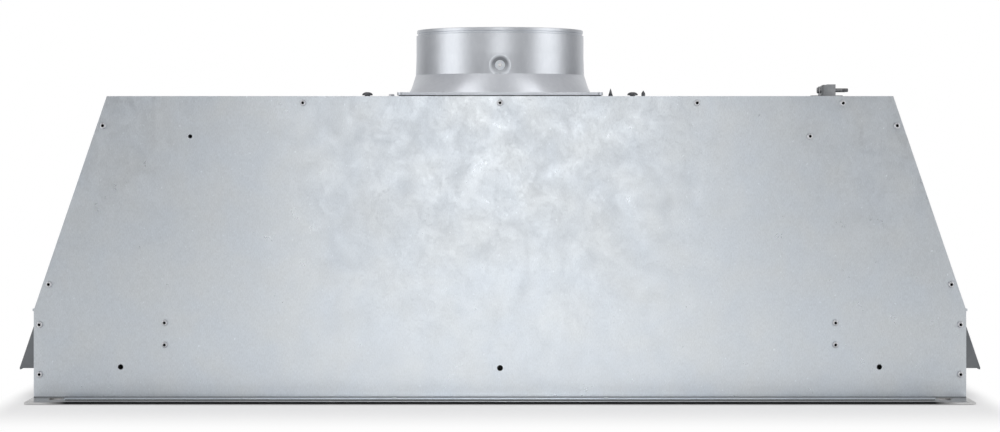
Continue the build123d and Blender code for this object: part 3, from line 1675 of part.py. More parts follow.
def make_filter_frame(centre_x):
    """Channel frame, open inwards, with drain holes over the gutter and the latch's rivets."""
    with BuildPart() as frame:
        with BuildSketch(filter_plane):
            with Locations((centre_x, filter_middle)):
                Rectangle(filter_width, filter_length)
                Rectangle(window_x, window_y, mode=Mode.SUBTRACT)
        extrude(amount=filter_thickness)
        with BuildSketch(filter_plane.offset(filter_sheet)):
            with Locations((centre_x, filter_middle)):
                Rectangle(filter_width - 2 * filter_sheet, filter_length - 2 * filter_sheet)
        extrude(amount=filter_thickness - 2 * filter_sheet, mode=Mode.SUBTRACT)
        with BuildSketch(filter_plane):
            with Locations((centre_x, filter_overhang / 2)):
                with GridLocations(baffle_pitch, 0, baffle_count, 1):
                    Circle(drain_hole / 2)
        extrude(amount=filter_sheet, mode=Mode.SUBTRACT)
        with BuildSketch(filter_plane):
            with Locations(*latch_rivet_places(centre_x)):
                Circle(latch_rivet / 2)
        extrude(amount=latch_under - latch_gap)
        with BuildSketch(filter_plane.offset(latch_under - latch_gap)):
            with Locations(*latch_rivet_places(centre_x)):
                Circle(latch_rivet_head / 2)
        extrude(amount=-latch_rivet_head_height)
    return frame.part


def draw_channel(centre_x, web_low, legs_up):
    """Section of one baffle; its legs point up or down."""
    half = baffle_width / 2
    web_high = web_low + filter_sheet
    leg_end = web_low + baffle_leg if legs_up else web_high - baffle_leg
    turn = web_high if legs_up else web_low
    back = web_low if legs_up else web_high
    Polygon(
        (centre_x - half, leg_end),
        (centre_x - half, back),
        (centre_x + half, back),
        (centre_x + half, leg_end),
        (centre_x + half - filter_sheet, leg_end),
        (centre_x + half - filter_sheet, turn),
        (centre_x - half + filter_sheet, turn),
        (centre_x - half + filter_sheet, leg_end),
        align=None,
    )


def make_filter_baffles(centre_x):
    """A lower row of channels that open upwards and an upper row that covers their gaps."""
    low_web = filter_sheet + baffle_gap
    high_web = filter_thickness - 2 * filter_sheet - baffle_gap
    start = filter_plane.from_local_coords((0, filter_middle + baffle_length / 2, 0))
    section_plane = Plane(origin=start, x_dir=(1, 0, 0), z_dir=-filter_plane.y_dir)
    with BuildPart() as baffles:
        with BuildSketch(section_plane):
            for index in range(baffle_count):
                draw_channel(centre_x + baffle_pitch * (index - (baffle_count - 1) / 2), low_web, True)
            for index in range(baffle_count - 1):
                draw_channel(centre_x + baffle_pitch * (index - (baffle_count - 2) / 2), high_web, False)
        extrude(amount=baffle_length)
    return baffles.part


def make_filter_latch(centre_x):
    """Sliding strip under the front rail, its nose over the strike and a tab for the finger."""
    strip_middle = filter_front - latch_reach + latch_strip_length / 2
    tab_y = filter_front - latch_reach + latch_strip_length - latch_strip_sheet / 2
    slot_width = latch_rivet + 2 * latch_slot_gap
    with BuildPart() as latch:
        with BuildSketch(filter_plane.offset(latch_under)):
            with Locations((centre_x, strip_middle)):
                Rectangle(latch_strip_width, latch_strip_length)
            with Locations(*[(x, y - latch_travel / 2) for x, y in latch_rivet_places(centre_x)]):
                SlotCenterToCenter(latch_travel, slot_width, rotation=90, mode=Mode.SUBTRACT)
        extrude(amount=latch_strip_sheet)
        with BuildSketch(filter_plane.offset(latch_under)):
            with Locations((centre_x, tab_y)):
                Rectangle(latch_strip_width, latch_strip_sheet)
        extrude(amount=-latch_tab_drop)
    return latch.part


filter_names = ("left", "middle", "right")
for index, hand in enumerate(filter_names):
    centre_x = filter_pitch * (index - (filter_count - 1) / 2)
    filter_frame = make_filter_frame(centre_x)
    filter_frame.label = f"filter_{hand}_frame"
    export_step(filter_frame, f"parts/filter_{hand}_frame.step")
    filter_baffles = make_filter_baffles(centre_x)
    filter_baffles.label = f"filter_{hand}_baffles"
    export_step(filter_baffles, f"parts/filter_{hand}_baffles.step")
    filter_latch = make_filter_latch(centre_x)
    filter_latch.label = f"filter_{hand}_latch"
    export_step(filter_latch, f"parts/filter_{hand}_latch.step")
print("filters done")


# ---- Side latches, their pins and springs

latch_lean = (latch_tip_out - latch_head_out) / (latch_high - latch_low)


def make_side_latch(side, centre_y):
    """Wedge of bent sheet: sloping face, two cheeks on the pin, a shelf and a lip below."""
    skirt = side * half_bottom
    half = side_latch_width / 2
    face_sheet = side_latch_sheet * math.hypot(1, latch_lean)
    low_out = skirt + side * latch_tip_out
    high_out = skirt + side * latch_head_out
    inner = skirt - side * latch_inner
    shelf_end = low_out - side * latch_shelf
    cheek_plane = Plane.XZ.offset(-centre_y - half)
    other_cheek = Plane.XZ.offset(-centre_y + half - side_latch_sheet)
    with BuildPart() as latch:
        with BuildSketch(cheek_plane, other_cheek):
            Polygon(
                (low_out, latch_low),
                (high_out, latch_high),
                (inner, latch_high),
                (inner, pin_z - latch_ear / 2),
                (skirt - side * latch_pin_in, latch_low),
                align=None,
            )
            with Locations((skirt - side * latch_pin_in, pin_z)):
                Circle(latch_pin_radius + pin_gap, mode=Mode.SUBTRACT)
        extrude(amount=side_latch_sheet)
        with BuildSketch(Plane.XZ.offset(-centre_y)):
            Polygon(
                (low_out, latch_low),
                (high_out, latch_high),
                (high_out - side * face_sheet, latch_high),
                (low_out - side * face_sheet, latch_low + side_latch_sheet),
                (shelf_end, latch_low + side_latch_sheet),
                (shelf_end, latch_low),
                align=None,
            )
            Polygon(
                (low_out, latch_low),
                (low_out - side * face_sheet, latch_low),
                (low_out - side * face_sheet, latch_low - latch_lip),
                (low_out, latch_low - latch_lip),
                align=None,
            )
        extrude(amount=half - side_latch_sheet, both=True)
    return latch.part


for side, hand in ((-1, "left"), (1, "right")):
    for centre_y, end in zip(latch_centres, ("front", "rear")):
        side_latch = make_side_latch(side, centre_y)
        side_latch.label = f"side_latch_{hand}_{end}"
        export_step(side_latch, f"parts/side_latch_{hand}_{end}.step")

latch_places = [
    (side * (half_bottom - latch_pin_in), centre_y) for side in (-1, 1) for centre_y in latch_centres
]
pin_half = window_half + sheet

with BuildPart() as latch_pins:
    for x, centre_y in latch_places:
        with BuildSketch(Plane.XZ.offset(-centre_y)):
            with Locations((x, pin_z)):
                Circle(latch_pin_radius)
        extrude(amount=pin_half, both=True)
        middle_plane = Plane.XZ.offset(-centre_y)
        with BuildSketch(middle_plane.offset(-pin_half - sheet), middle_plane.offset(pin_half)):
            with Locations((x, pin_z)):
                Circle(latch_pin_head)
        extrude(amount=sheet)

latch_pins.part.label = "latch_pins"
export_step(latch_pins.part, "parts/latch_pins.step")

# Torsion springs as closed coils round the pins, one leg on the latch and one on the skirt
with BuildPart() as latch_springs:
    for x, centre_y in latch_places:
        outward = math.copysign(1, x)
        with BuildSketch(Plane.XZ.offset(-centre_y)):
            with Locations((x, pin_z)):
                Circle(spring_inner + spring_wire)
                Circle(spring_inner, mode=Mode.SUBTRACT)
        extrude(amount=spring_length / 2, both=True)
        with BuildSketch(Plane.XZ.offset(-centre_y)):
            Polygon(
                (x - outward * spring_inner, pin_z),
                (x - outward * spring_inner, pin_z - spring_leg),
                (x - outward * (spring_inner + spring_wire), pin_z - spring_leg),
                (x - outward * (spring_inner + spring_wire), pin_z),
                align=None,
            )
        extrude(amount=spring_wire / 2, both=True)

latch_springs.part.label = "latch_springs"
export_step(latch_springs.part, "parts/latch_springs.step")
print("strike top", strike_top, "hinge", (recess_back, hinge_z), "filter width", filter_width)
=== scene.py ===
import json
import math

import bmesh
import bpy
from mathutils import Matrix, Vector


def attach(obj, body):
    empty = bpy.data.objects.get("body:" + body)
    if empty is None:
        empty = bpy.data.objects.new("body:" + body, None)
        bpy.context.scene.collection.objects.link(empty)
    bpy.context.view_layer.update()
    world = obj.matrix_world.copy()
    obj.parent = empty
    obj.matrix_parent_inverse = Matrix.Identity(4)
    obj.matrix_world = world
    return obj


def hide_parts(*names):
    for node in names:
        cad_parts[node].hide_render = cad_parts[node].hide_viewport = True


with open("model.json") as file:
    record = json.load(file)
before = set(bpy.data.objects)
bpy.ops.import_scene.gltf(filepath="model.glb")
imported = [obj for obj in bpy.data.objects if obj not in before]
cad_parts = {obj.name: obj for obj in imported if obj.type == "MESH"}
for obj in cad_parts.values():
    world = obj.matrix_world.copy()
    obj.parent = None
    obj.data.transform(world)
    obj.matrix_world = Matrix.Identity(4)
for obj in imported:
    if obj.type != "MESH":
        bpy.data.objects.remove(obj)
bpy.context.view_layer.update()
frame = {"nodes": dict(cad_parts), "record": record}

nodes = frame["nodes"]
scene = bpy.context.scene
print("frame loaded with", len(nodes), "nodes")


class Link:
    # an output socket that can be used in sums
    def __init__(self, graph, socket):
        self.graph = graph
        self.socket = socket

    def __add__(self, other):
        return self.graph.math("ADD", self, other)

    def __sub__(self, other):
        return self.graph.math("SUBTRACT", self, other)

    def __rsub__(self, other):
        return self.graph.math("SUBTRACT", other, self)

    def __mul__(self, other):
        return self.graph.math("MULTIPLY", self, other)

    __radd__ = __add__
    __rmul__ = __mul__


class Graph:
    # the nodes of a material, a world or a geometry tree; add() makes any of them
    def __init__(self, tree):
        self.tree = tree

    def add(self, kind, settings=None, values=None, output=0):
        node = self.tree.nodes.new(kind)
        for name, value in (settings or {}).items():
            setattr(node, name, value)
        for name, value in (values or {}).items():
            self.give(node.inputs[name], value)
        return Link(self, node.outputs[output]) if len(node.outputs) else node

    def give(self, socket, value):
        if isinstance(value, Link):
            self.tree.links.new(value.socket, socket)
        else:
            socket.default_value = value

    def math(self, operation, *values):
        return self.add("ShaderNodeMath", {"operation": operation}, dict(enumerate(values)))

    def axis(self, vector, name):
        return self.add("ShaderNodeSeparateXYZ", None, {0: vector}, output=name)

    def level(self, value, lowIn, highIn, lowOut=0.0, highOut=1.0):
        return self.add("ShaderNodeMapRange", {"clamp": True}, {
            "Value": value, "From Min": lowIn, "From Max": highIn, "To Min": lowOut, "To Max": highOut})

    def blend(self, factor, first, second):
        return self.add("ShaderNodeMix", {"data_type": "RGBA"}, {
            0: factor, 6: opaque(first), 7: opaque(second)}, output=2)


def opaque(colour):
    return colour if isinstance(colour, Link) else (*colour[:3], 1.0)


class Finish(Graph):
    # one material on a Principled shader; values given by name stay the same all over
    def __init__(self, name, **fixed):
        self.material = bpy.data.materials.new(name)
        self.material.use_nodes = True
        super().__init__(self.material.node_tree)
        self.shader = self.tree.nodes["Principled BSDF"]
        self.coordinates = self.add("ShaderNodeTexCoord", output="Object")
        for name, value in fixed.items():
            self.paint(name, value)

    def paint(self, name, value):
        words = {"colour": "Base Color", "ior": "IOR", "specular": "Specular IOR Level"}
        socket = self.shader.inputs[words.get(name, name.replace("_", " ").title())]
        if socket.type == "RGBA":
            value = opaque(value)
        self.give(socket, value)

    def places(self, scale):
        scale = scale if isinstance(scale, tuple) else (scale, scale, scale)
        return self.add("ShaderNodeMapping", None, {"Vector": self.coordinates, "Scale": scale})

    def along(self, axis):
        # how far along the object's X, Y or Z, in metres
        return self.axis(self.coordinates, axis)

    def fromMiddle(self, axis):
        return self.math("ABSOLUTE", self.along(axis))

    def noise(self, scale, detail=3.0, roughness=0.5, distortion=0.0):
        return self.add("ShaderNodeTexNoise", None, {
            "Vector": self.places(scale), "Scale": 1.0, "Detail": detail,
            "Roughness": roughness, "Distortion": distortion})

    def cells(self, scale, feature="F1"):
        return self.add("ShaderNodeTexVoronoi", {"feature": feature}, {
            "Vector": self.places(scale), "Scale": 1.0})

    def spread(self, value, middle, below, above):
        # roughness that follows a pattern, from middle - below to middle + above
        self.paint("roughness", self.level(value, 0.3, 0.7, middle - below, middle + above))

    def bump(self, height, distance):
        self.paint("normal", self.add("ShaderNodeBump", None, {
            "Height": height, "Distance": distance, "Strength": 1.0}))


# Coated sheet: slow patches between blue and plain grey, small swayed leaves, a fine upright grain,
# and clouds that shine more or less. Painted light makes it lighter towards the foot and the middle of the
# front
zincSheet = {
    "blue": (0.574, 0.616, 0.659),
    "plain": (0.592, 0.623, 0.647),
    "patchSize": 0.050,
    "cloudSize": 0.027,
    "cloudContrast": 0.055,
    "cloudShine": 0.30,
    "leafSize": (0.0028, 0.0050),
    "leafContrast": 0.045,
    "leafShine": 0.04,
    "leafSway": (1.1, 1.1, 1.1),
    "swayScale": 130.0,
    "broadScale": 3.1,
    "broadContrast": 0.08,
    "grainScale": (1000.0, 1000.0, 340.0),
    "grainContrast": 0.34,
    "speckScale": (300.0, 300.0, 230.0),
    "speckLevels": (0.70, 0.78),
    "speckLight": 0.20,
    "lowerReach": (0.20, 0.0),
    "lowerPaintedLight": 0.27,
    "middleReach": (0.47, 0.10),
    "footReach": (0.014, 0.004),
    "footPaintedLight": 0.16,
    "roughness": 0.34,
    "metallic": 0.85,
    "bumpDepth": 0.00022,
}

# The panels' turned-out hem: painted shade darkens and dulls its inner corner and its cut edge
hemShade = {
    "bendAway": (0.2200, 0.2180),
    "bendHeight": (0.0035, 0.0032),
    "bendShade": 0.7,
    "edgeAway": (0.2295, 0.2298),
    "edgeHeight": (0.0030, 0.0027),
    "edgeTop": 0.3,
    "roughening": 0.6,
    "colour": (0.012, 0.012, 0.013),
}


def makeZincSheet(name, look, hem=None):
    finish = Finish(name, metallic=look["metallic"], specular=0.0 if hem else 0.5)
    wide, tall = (1 / size for size in look["leafSize"])
    sway = finish.add("ShaderNodeTexNoise", None, {
        "Vector": finish.places(look["swayScale"]), "Scale": 1.0, "Detail": 2.0}, output="Color")
    swayed = finish.add("ShaderNodeVectorMath", {"operation": "MULTIPLY_ADD"}, {
        0: sway, 1: look["leafSway"], 2: finish.places((wide, wide, tall))})
    cells = finish.add("ShaderNodeTexVoronoi", {"feature": "F1"}, {
        "Vector": swayed, "Scale": 1.0}, output="Color")
    leaf = finish.add("ShaderNodeSeparateColor", None, {0: cells}, output="Red")
    patch = finish.noise(1 / look["patchSize"], 2.0, 0.5, 0.3)
    cloud = finish.noise(1 / look["cloudSize"], 5.0, 0.62, 0.6)
    broad = finish.noise(look["broadScale"], 3.0, 0.5)
    grain = finish.noise(look["grainScale"], 2.0, 0.6)
    speck = finish.level(finish.noise(look["speckScale"], 1.0, 0.5), *look["speckLevels"])
    tone = (leaf - 0.5) * look["leafContrast"] + (cloud - 0.5) * look["cloudContrast"]
    tone = tone + (grain - 0.5) * look["grainContrast"] + (broad - 0.5) * look["broadContrast"]
    tone = tone + speck * look["speckLight"] + 1.0
    # painted light: lighter low down, most in the middle of the front, and lighter again at the foot
    height, middle = finish.along("Z"), finish.level(finish.fromMiddle("X"), *look["middleReach"])
    tone = tone + finish.level(height, *look["lowerReach"], 0.0, look["lowerPaintedLight"]) * middle
    tone = tone + finish.level(height, *look["footReach"], 0.0, look["footPaintedLight"])
    hue = finish.blend(finish.level(patch, 0.32, 0.68), look["blue"], look["plain"])
    sheet = finish.add("ShaderNodeMix", {"data_type": "RGBA", "blend_type": "MULTIPLY"}, {
        0: 1.0, 6: hue, 7: finish.add("ShaderNodeCombineColor", None, {0: tone, 1: tone, 2: tone})}, output=2)
    rough = (cloud - 0.5) * look["cloudShine"] + (leaf - 0.5) * look["leafShine"] + look["roughness"]
    # painted shade on the hem's inner corner and its cut edge, with the metal dulled to keep it dark
    if hem:
        away = finish.fromMiddle("Y")
        bend = finish.level(away, *hem["bendAway"]) * finish.level(height, *hem["bendHeight"])
        edge = finish.level(away, *hem["edgeAway"])
        edge = edge * finish.level(height, *hem["edgeHeight"], hem["edgeTop"], 1.0)
        shade = finish.level(bend * hem["bendShade"] + edge, 0.0, 1.0)
        sheet = finish.blend(shade, sheet, hem["colour"])
        rough = rough + shade * hem["roughening"]
        finish.paint("metallic", (1.0 - shade) * look["metallic"])
    finish.paint("colour", sheet)
    finish.paint("roughness", rough)
    finish.bump(leaf * 0.25 + grain * 0.12 + broad * 6.0, look["bumpDepth"])
    return finish.material


# Spun and pressed collar: smoother, with faint drawn lines and soft stains; painted shade darkens the cup
# round the damper's bush, most of all above, and the lowest edge of the foot
collarSheet = {
    "light": (0.730, 0.757, 0.795),
    "dark": (0.655, 0.682, 0.722),
    "speck": (0.86, 0.88, 0.90),
    "shade": (0.190, 0.200, 0.215),
    "roughness": 0.38,
    "metallic": 0.90,
    "bumpDepth": 0.00012,
    "cupRadius": (0.0122, 0.0088),
    "cupMiddle": 0.3714,
    "cupMouth": (0.0990, 0.0982),
    "cupBack": (0.090, 0.092),
    "cupLower": (-0.013, 0.004),
    "footEdge": (0.3368, 0.3362),
    "footShade": 0.7,
}


def makeCollarSheet(name, look):
    finish = Finish(name, metallic=look["metallic"])
    stain = finish.noise((16.0, 16.0, 9.0), 4.0, 0.6, 0.4)
    drawn = finish.noise((60.0, 60.0, 900.0), 2.0, 0.5)
    leaf = finish.cells((240.0, 240.0, 110.0), "SMOOTH_F1")
    speck = finish.level(finish.noise((420.0, 420.0, 300.0), 1.0, 0.5), 0.68, 0.76)
    sheet = finish.blend(finish.level(stain * 0.8 + leaf * 0.35, 0.3, 0.8), look["dark"], look["light"])
    sheet = finish.blend(speck * 0.25, sheet, look["speck"])
    across, away = finish.fromMiddle("X"), finish.fromMiddle("Y")
    height = finish.along("Z") - look["cupMiddle"]
    radius = finish.math("SQRT", across * across + height * height)
    # painted shade in the cup round the bush and along the foot's lowest edge
    cup = finish.level(radius, *look["cupRadius"]) * finish.level(away, *look["cupMouth"])
    cup = cup * finish.level(away, *look["cupBack"]) * finish.level(height, *look["cupLower"], 0.25, 1.0)
    foot = finish.level(finish.along("Z"), *look["footEdge"]) * look["footShade"]
    finish.paint("colour", finish.blend(foot, finish.blend(cup, sheet, look["shade"]), look["shade"]))
    finish.spread(stain * 0.7 + drawn * 0.3, look["roughness"], 0.05, 0.07)
    finish.bump(drawn * 0.06 + leaf * 0.25 + stain * 1.5, look["bumpDepth"])
    return finish.material


# Brushed stainless: long fine scratches along one direction
brushedSheet = {
    "light": (0.700, 0.700, 0.695),
    "dark": (0.570, 0.570, 0.565),
    "roughness": 0.27,
    "anisotropic": 0.35,
    "scratchScales": (14.0, 1500.0),
    "bandScales": (3.0, 160.0),
    "bumpDepth": 0.00002,
}

# The face frame's lip gets painted shade except near its ends and along its foot, and so does the
# line in front of the panels' hem
frameLip = {
    "face": (0.2424, 0.2430),
    "foot": (0.0002, 0.0005),
    "hemFront": (0.2385, 0.2355),
    "hemBack": (0.2315, 0.2355),
    "hemShade": 0.9,
    "ends": (0.497, 0.470),
    "roughening": 0.6,
    "colour": (0.012, 0.012, 0.013),
}


def makeBrushedSheet(name, look, along, lip=None):
    finish = Finish(name, metallic=1.0, anisotropic=look["anisotropic"], specular=0.0 if lip else 0.5)
    fine, broad = (tuple(scales[0] if axis == along else scales[1] for axis in "xyz")
                   for scales in (look["scratchScales"], look["bandScales"]))
    scratch = finish.noise(fine, 3.0, 0.7)
    band = finish.noise(broad, 2.0, 0.5)
    smudge = finish.noise(11.0, 4.0, 0.6)
    worn = scratch * 0.6 + band * 0.25 + smudge * 0.15
    sheet = finish.blend(finish.level(worn, 0.35, 0.65), look["dark"], look["light"])
    rough = finish.level(scratch * 0.5 + smudge * 0.5, 0.3, 0.7,
                         look["roughness"] - 0.06, look["roughness"] + 0.12)
    # painted shade on the lip's front face and on the line in front of the hem, with the metal dulled to keep
    # it dark
    if lip:
        away, across = finish.fromMiddle("Y"), finish.fromMiddle("X")
        shade = finish.level(away, *lip["face"]) * finish.level(finish.along("Z"), *lip["foot"])
        line = finish.level(away, *lip["hemFront"]) * finish.level(away, *lip["hemBack"])
        shade = shade + line * lip["hemShade"]
        shade = finish.level(shade * finish.level(across, *lip["ends"]), 0.0, 1.0)
        sheet = finish.blend(shade, sheet, lip["colour"])
        rough = rough + shade * lip["roughening"]
        finish.paint("metallic", 1.0 - shade)
    finish.paint("colour", sheet)
    finish.paint("roughness", rough)
    finish.bump(scratch * 0.7 + band * 0.3, look["bumpDepth"])
    return finish.material


def lighter(colour, share, added=0.0):
    return tuple(min(1.0, part * share + added) for part in colour)


def makePlating(name, light, dark, roughness, scale=700.0):
    # bright or oxide-coated small parts, with a faint stain and tool marks
    finish = Finish(name, metallic=1.0)
    stain = finish.noise(scale * 0.35, 4.0, 0.6, 0.5)
    marks = finish.noise(scale * 3, 2.0, 0.6)
    finish.paint("colour", finish.blend(finish.level(stain, 0.35, 0.65), dark, light))
    finish.spread(stain * 0.6 + marks * 0.4, roughness, 0.06, 0.12)
    finish.bump(marks * 0.4 + stain * 0.6, 0.00003)
    return finish.material


def makeTurned(name, light, dark, roughness, axis):
    # ground or turned bars, with fine rings round one axis
    finish = Finish(name, metallic=1.0)
    rings = finish.noise(tuple(2600.0 if a == axis else 25.0 for a in "xyz"), 2.0, 0.6)
    stain = finish.noise(120.0, 3.0, 0.5)
    finish.paint("colour", finish.blend(finish.level(rings * 0.6 + stain * 0.4, 0.35, 0.65), dark, light))
    finish.spread(stain, roughness, 0.04, 0.10)
    finish.bump(rings, 0.00002)
    return finish.material


def makeMoulded(name, light, dark, roughness, grainSize, grainDepth, **fixed):
    # moulded plastic or rubber, with a fine grain and slow flow marks
    finish = Finish(name, metallic=0.0, **fixed)
    grain = finish.cells(1 / grainSize, "SMOOTH_F1")
    flow = finish.noise((26.0, 55.0, 40.0), 4.0, 0.55, 0.8)
    dust = finish.level(finish.noise(900.0, 2.0, 0.7), 0.62, 0.78)
    shade = finish.blend(finish.level(flow, 0.3, 0.7), dark, light)
    finish.paint("colour", finish.blend(dust * 0.12, shade, lighter(light, 1.4, 0.06)))
    finish.paint("roughness", finish.level(flow * 0.6 + dust * 0.4, 0.1, 0.7, roughness - 0.05,
                                           roughness + 0.12))
    finish.bump(grain, grainDepth)
    return finish.material


def makeFoam():
    # closed-cell gasket foam
    finish = Finish("gasketFoam", metallic=0.0)
    wall = finish.cells(720.0, "DISTANCE_TO_EDGE")
    pore = finish.level(wall, 0.02, 0.28)
    big = finish.noise(60.0, 3.0, 0.6)
    finish.paint("colour", finish.blend(pore * 0.7 + big * 0.3, (0.055, 0.055, 0.058), (0.135, 0.135, 0.14)))
    finish.paint("roughness", finish.level(pore, 0.0, 1.0, 0.72, 0.92))
    finish.bump(1.0 - pore, 0.0003)
    return finish.material


def makeCasting(name, light, dark, roughness):
    # die casting or stoved paint, with a pebbled skin
    finish = Finish(name, metallic=0.25)
    pebble = finish.noise(1300.0, 2.0, 0.5)
    cloud = finish.noise(75.0, 4.0, 0.6)
    rub = finish.level(finish.noise(240.0, 3.0, 0.7), 0.6, 0.74)
    skin = finish.blend(finish.level(cloud, 0.35, 0.65), dark, light)
    finish.paint("colour", finish.blend(rub * 0.25, skin, lighter(light, 1.9)))
    finish.spread(cloud * 0.5 + pebble * 0.5, roughness, 0.07, 0.10)
    finish.bump(pebble, 0.00006)
    return finish.material


def makeLensFinish():
    # frosted lamp cover; ripple and frost show in the roughness
    finish = Finish("lampLens", metallic=0.0, ior=1.49, transmission_weight=0.55)
    frost = finish.noise(1500.0, 2.0, 0.6)
    cloud = finish.noise(70.0, 3.0, 0.5)
    clear, milky = (0.90, 0.915, 0.92), (0.96, 0.965, 0.965)
    finish.paint("colour", finish.blend(finish.level(cloud, 0.3, 0.7), clear, milky))
    finish.paint("roughness", finish.level(frost * 0.5 + cloud * 0.5, 0.3, 0.7, 0.30, 0.48))
    finish.bump(frost, 0.00008)
    return finish.material


finishes = {
    "galvanised_sheet": makeZincSheet("zincSheet", zincSheet),
    "galvanised_collar": makeCollarSheet("collarSheet", collarSheet),
    "stainless": makeBrushedSheet("stainlessAcross", brushedSheet, "x"),
    "latch_steel": makePlating("latchSteel", (0.205, 0.215, 0.225), (0.160, 0.168, 0.178), 0.42, 120.0),
    "baffle_steel": makeBrushedSheet("stainlessBaffles", brushedSheet, "y"),
    "zinc_screws": makePlating("zincPlating", (0.66, 0.67, 0.68), (0.50, 0.51, 0.54), 0.30),
    "dark_screws": makePlating("blackOxide", (0.33, 0.335, 0.34), (0.15, 0.15, 0.155), 0.38),
    "cable_clamp": makeCasting("clampCasting", (0.40, 0.41, 0.42), (0.26, 0.27, 0.28), 0.46),
    "foam": makeFoam(),
    "nylon": makeMoulded("naturalNylon", (0.90, 0.915, 0.935), (0.83, 0.845, 0.865), 0.42,
                         0.0009, 0.00004, subsurface_weight=0.08),
    "bakelite": makeMoulded("blackPhenolic", (0.045, 0.043, 0.042), (0.022, 0.021, 0.021), 0.28,
                            0.0012, 0.00004),
    "grommet": makeMoulded("grommetRubber", (0.035, 0.035, 0.036), (0.018, 0.018, 0.019), 0.66,
                           0.0007, 0.00006),
    "motor_paint": makeCasting("motorPaint", (0.060, 0.060, 0.064), (0.028, 0.028, 0.030), 0.36),
    "shaft_steel": makeTurned("groundSteel", (0.50, 0.50, 0.505), (0.38, 0.38, 0.385), 0.26, "x"),
    "capacitor_can": makeMoulded("capacitorCan", (0.78, 0.78, 0.755), (0.71, 0.71, 0.69), 0.40,
                                 0.0010, 0.00003),
    "button": makeMoulded("buttonPlastic", (0.055, 0.056, 0.060), (0.035, 0.036, 0.039), 0.34,
                          0.0006, 0.00005, coat_weight=0.25),
    "lamp_metal": makeTurned("lampMetal", (0.74, 0.74, 0.75), (0.63, 0.63, 0.64), 0.34, "z"),
    "lens": makeLensFinish(),
    "spring_steel": makeTurned("springWire", (0.44, 0.44, 0.45), (0.30, 0.30, 0.31), 0.28, "y"),
}
# finishes that only a few pieces have
hemmedSheet = makeZincSheet("zincHemmed", zincSheet, hemShade)
lippedSheet = makeBrushedSheet("stainlessLipped", brushedSheet, "x", frameLip)
# painted shade: near-black plating for the screws' driver recesses
recessDark = makePlating("recessDark", (0.014, 0.014, 0.015), (0.006, 0.006, 0.007), 0.6)
# painted shade: a darker copy of the screw plating for the roof's dome and upward screws
roofScrewShade = makePlating("blackenedScrews", (0.180, 0.183, 0.190), (0.085, 0.087, 0.091), 0.40)
ownFinish = {"front_panel": hemmedSheet, "back_panel": hemmedSheet, "face_frame": lippedSheet}

slotOf = {row["node"]: row["material_slot"] for row in frame["record"]["subparts"]}
for name, node in nodes.items():
    material = ownFinish.get(name, finishes[slotOf[name]])
    if not node.data.materials:
        node.data.materials.append(material)
    for place in range(len(node.data.materials)):
        node.data.materials[place] = material
print("finishes made:", len(bpy.data.materials))

milli = 0.001   # shapes are listed in millimetres and made in metres


def boxesOf(name):
    # the low and high corner of every separate solid in a CAD node
    shape = bmesh.new()
    shape.from_mesh(nodes[name].data)
    bmesh.ops.remove_doubles(shape, verts=shape.verts, dist=1e-6)
    left, boxes = set(shape.verts), []
    while left:
        edge = [left.pop()]
        found = list(edge)
        while edge:
            for link in edge.pop().link_edges:
                for vert in link.verts:
                    if vert in left:
                        left.remove(vert)
                        edge.append(vert)
                        found.append(vert)
        low = Vector(min(v.co[a] for v in found) for a in range(3))
        high = Vector(max(v.co[a] for v in found) for a in range(3))
        boxes.append((low, high))
    shape.free()
    return sorted(boxes, key=lambda b: tuple(round(x, 5) for x in b[0]))


def ringAt(radius, height, angle):
    # a point at an angle round Z, from millimetres to metres
    return radius * milli * math.cos(angle), radius * milli * math.sin(angle), height * milli


def meshFrom(name, verts, faces):
    mesh = bpy.data.meshes.new(name)
    mesh.from_pydata(verts, [], faces)
    mesh.validate()
    return mesh


def turnedMesh(name, profile, steps):
    # a closed shape turned round Z, from (radius, height) pairs that start and end on the axis
    verts, rings = [], []
    for radius, height in profile:
        if radius == 0:
            rings.append([len(verts)])
            verts.append((0, 0, height * milli))
        else:
            rings.append(list(range(len(verts), len(verts) + steps)))
            verts += [ringAt(radius, height, 2 * math.pi * k / steps) for k in range(steps)]
    faces = []
    for low, high in zip(rings, rings[1:]):
        for k in range(steps):
            n = (k + 1) % steps
            if len(low) == 1:
                faces.append((low[0], high[n], high[k]))
            elif len(high) == 1:
                faces.append((low[k], low[n], high[0]))
            else:
                faces.append((low[k], low[n], high[n], high[k]))
    return meshFrom(name, verts, faces)


def threadRings(radius, core, length, pitch, start, point, rowsPerTurn=6, steps=14):
    # rows of radii with their height, for a thread that runs from start by length and narrows to a
    # point over the last stretch
    rows = []
    count = round(abs(length) / pitch * rowsPerTurn)
    for row in range(count + 1):
        along = length * row / count
        left = abs(length) - abs(along)
        close = min(1.0, left / point)
        ring = []
        for k in range(steps):
            turn = (abs(along) / pitch - k / steps) % 1.0
            ridge = 1 - abs(2 * turn - 1)
            ring.append((core + (radius - core) * ridge) * (0.12 + 0.88 * close))
        rows.append((ring, start + along))
    return rows


def ringedMesh(name, rows, ends):
    # closed shape from rows of radii, with a point at each end
    steps = len(rows[0][0])
    verts = [(0, 0, ends[0] * milli)]
    for ring, height in rows:
        verts += [ringAt(radius, height, 2 * math.pi * k / steps) for k, radius in enumerate(ring)]
    verts.append((0, 0, ends[1] * milli))
    last = len(verts) - 1
    faces = []
    for k in range(steps):
        n = (k + 1) % steps
        faces.append((0, 1 + n, 1 + k))
        for row in range(len(rows) - 1):
            a, b = 1 + row * steps, 1 + (row + 1) * steps
            faces.append((a + k, a + n, b + n, b + k))
        top = 1 + (len(rows) - 1) * steps
        faces.append((top + k, top + n, last))
    return meshFrom(name, verts, faces)


def joinMeshes(name, meshes):
    shape = bmesh.new()
    for mesh in meshes:
        shape.from_mesh(mesh)
        bpy.data.meshes.remove(mesh)
    bmesh.ops.recalc_face_normals(shape, faces=shape.faces)
    made = bpy.data.meshes.new(name)
    shape.to_mesh(made)
    shape.free()
    return made


def objectOf(mesh, name):
    made = bpy.data.objects.new(name, mesh)
    scene.collection.objects.link(made)
    return made


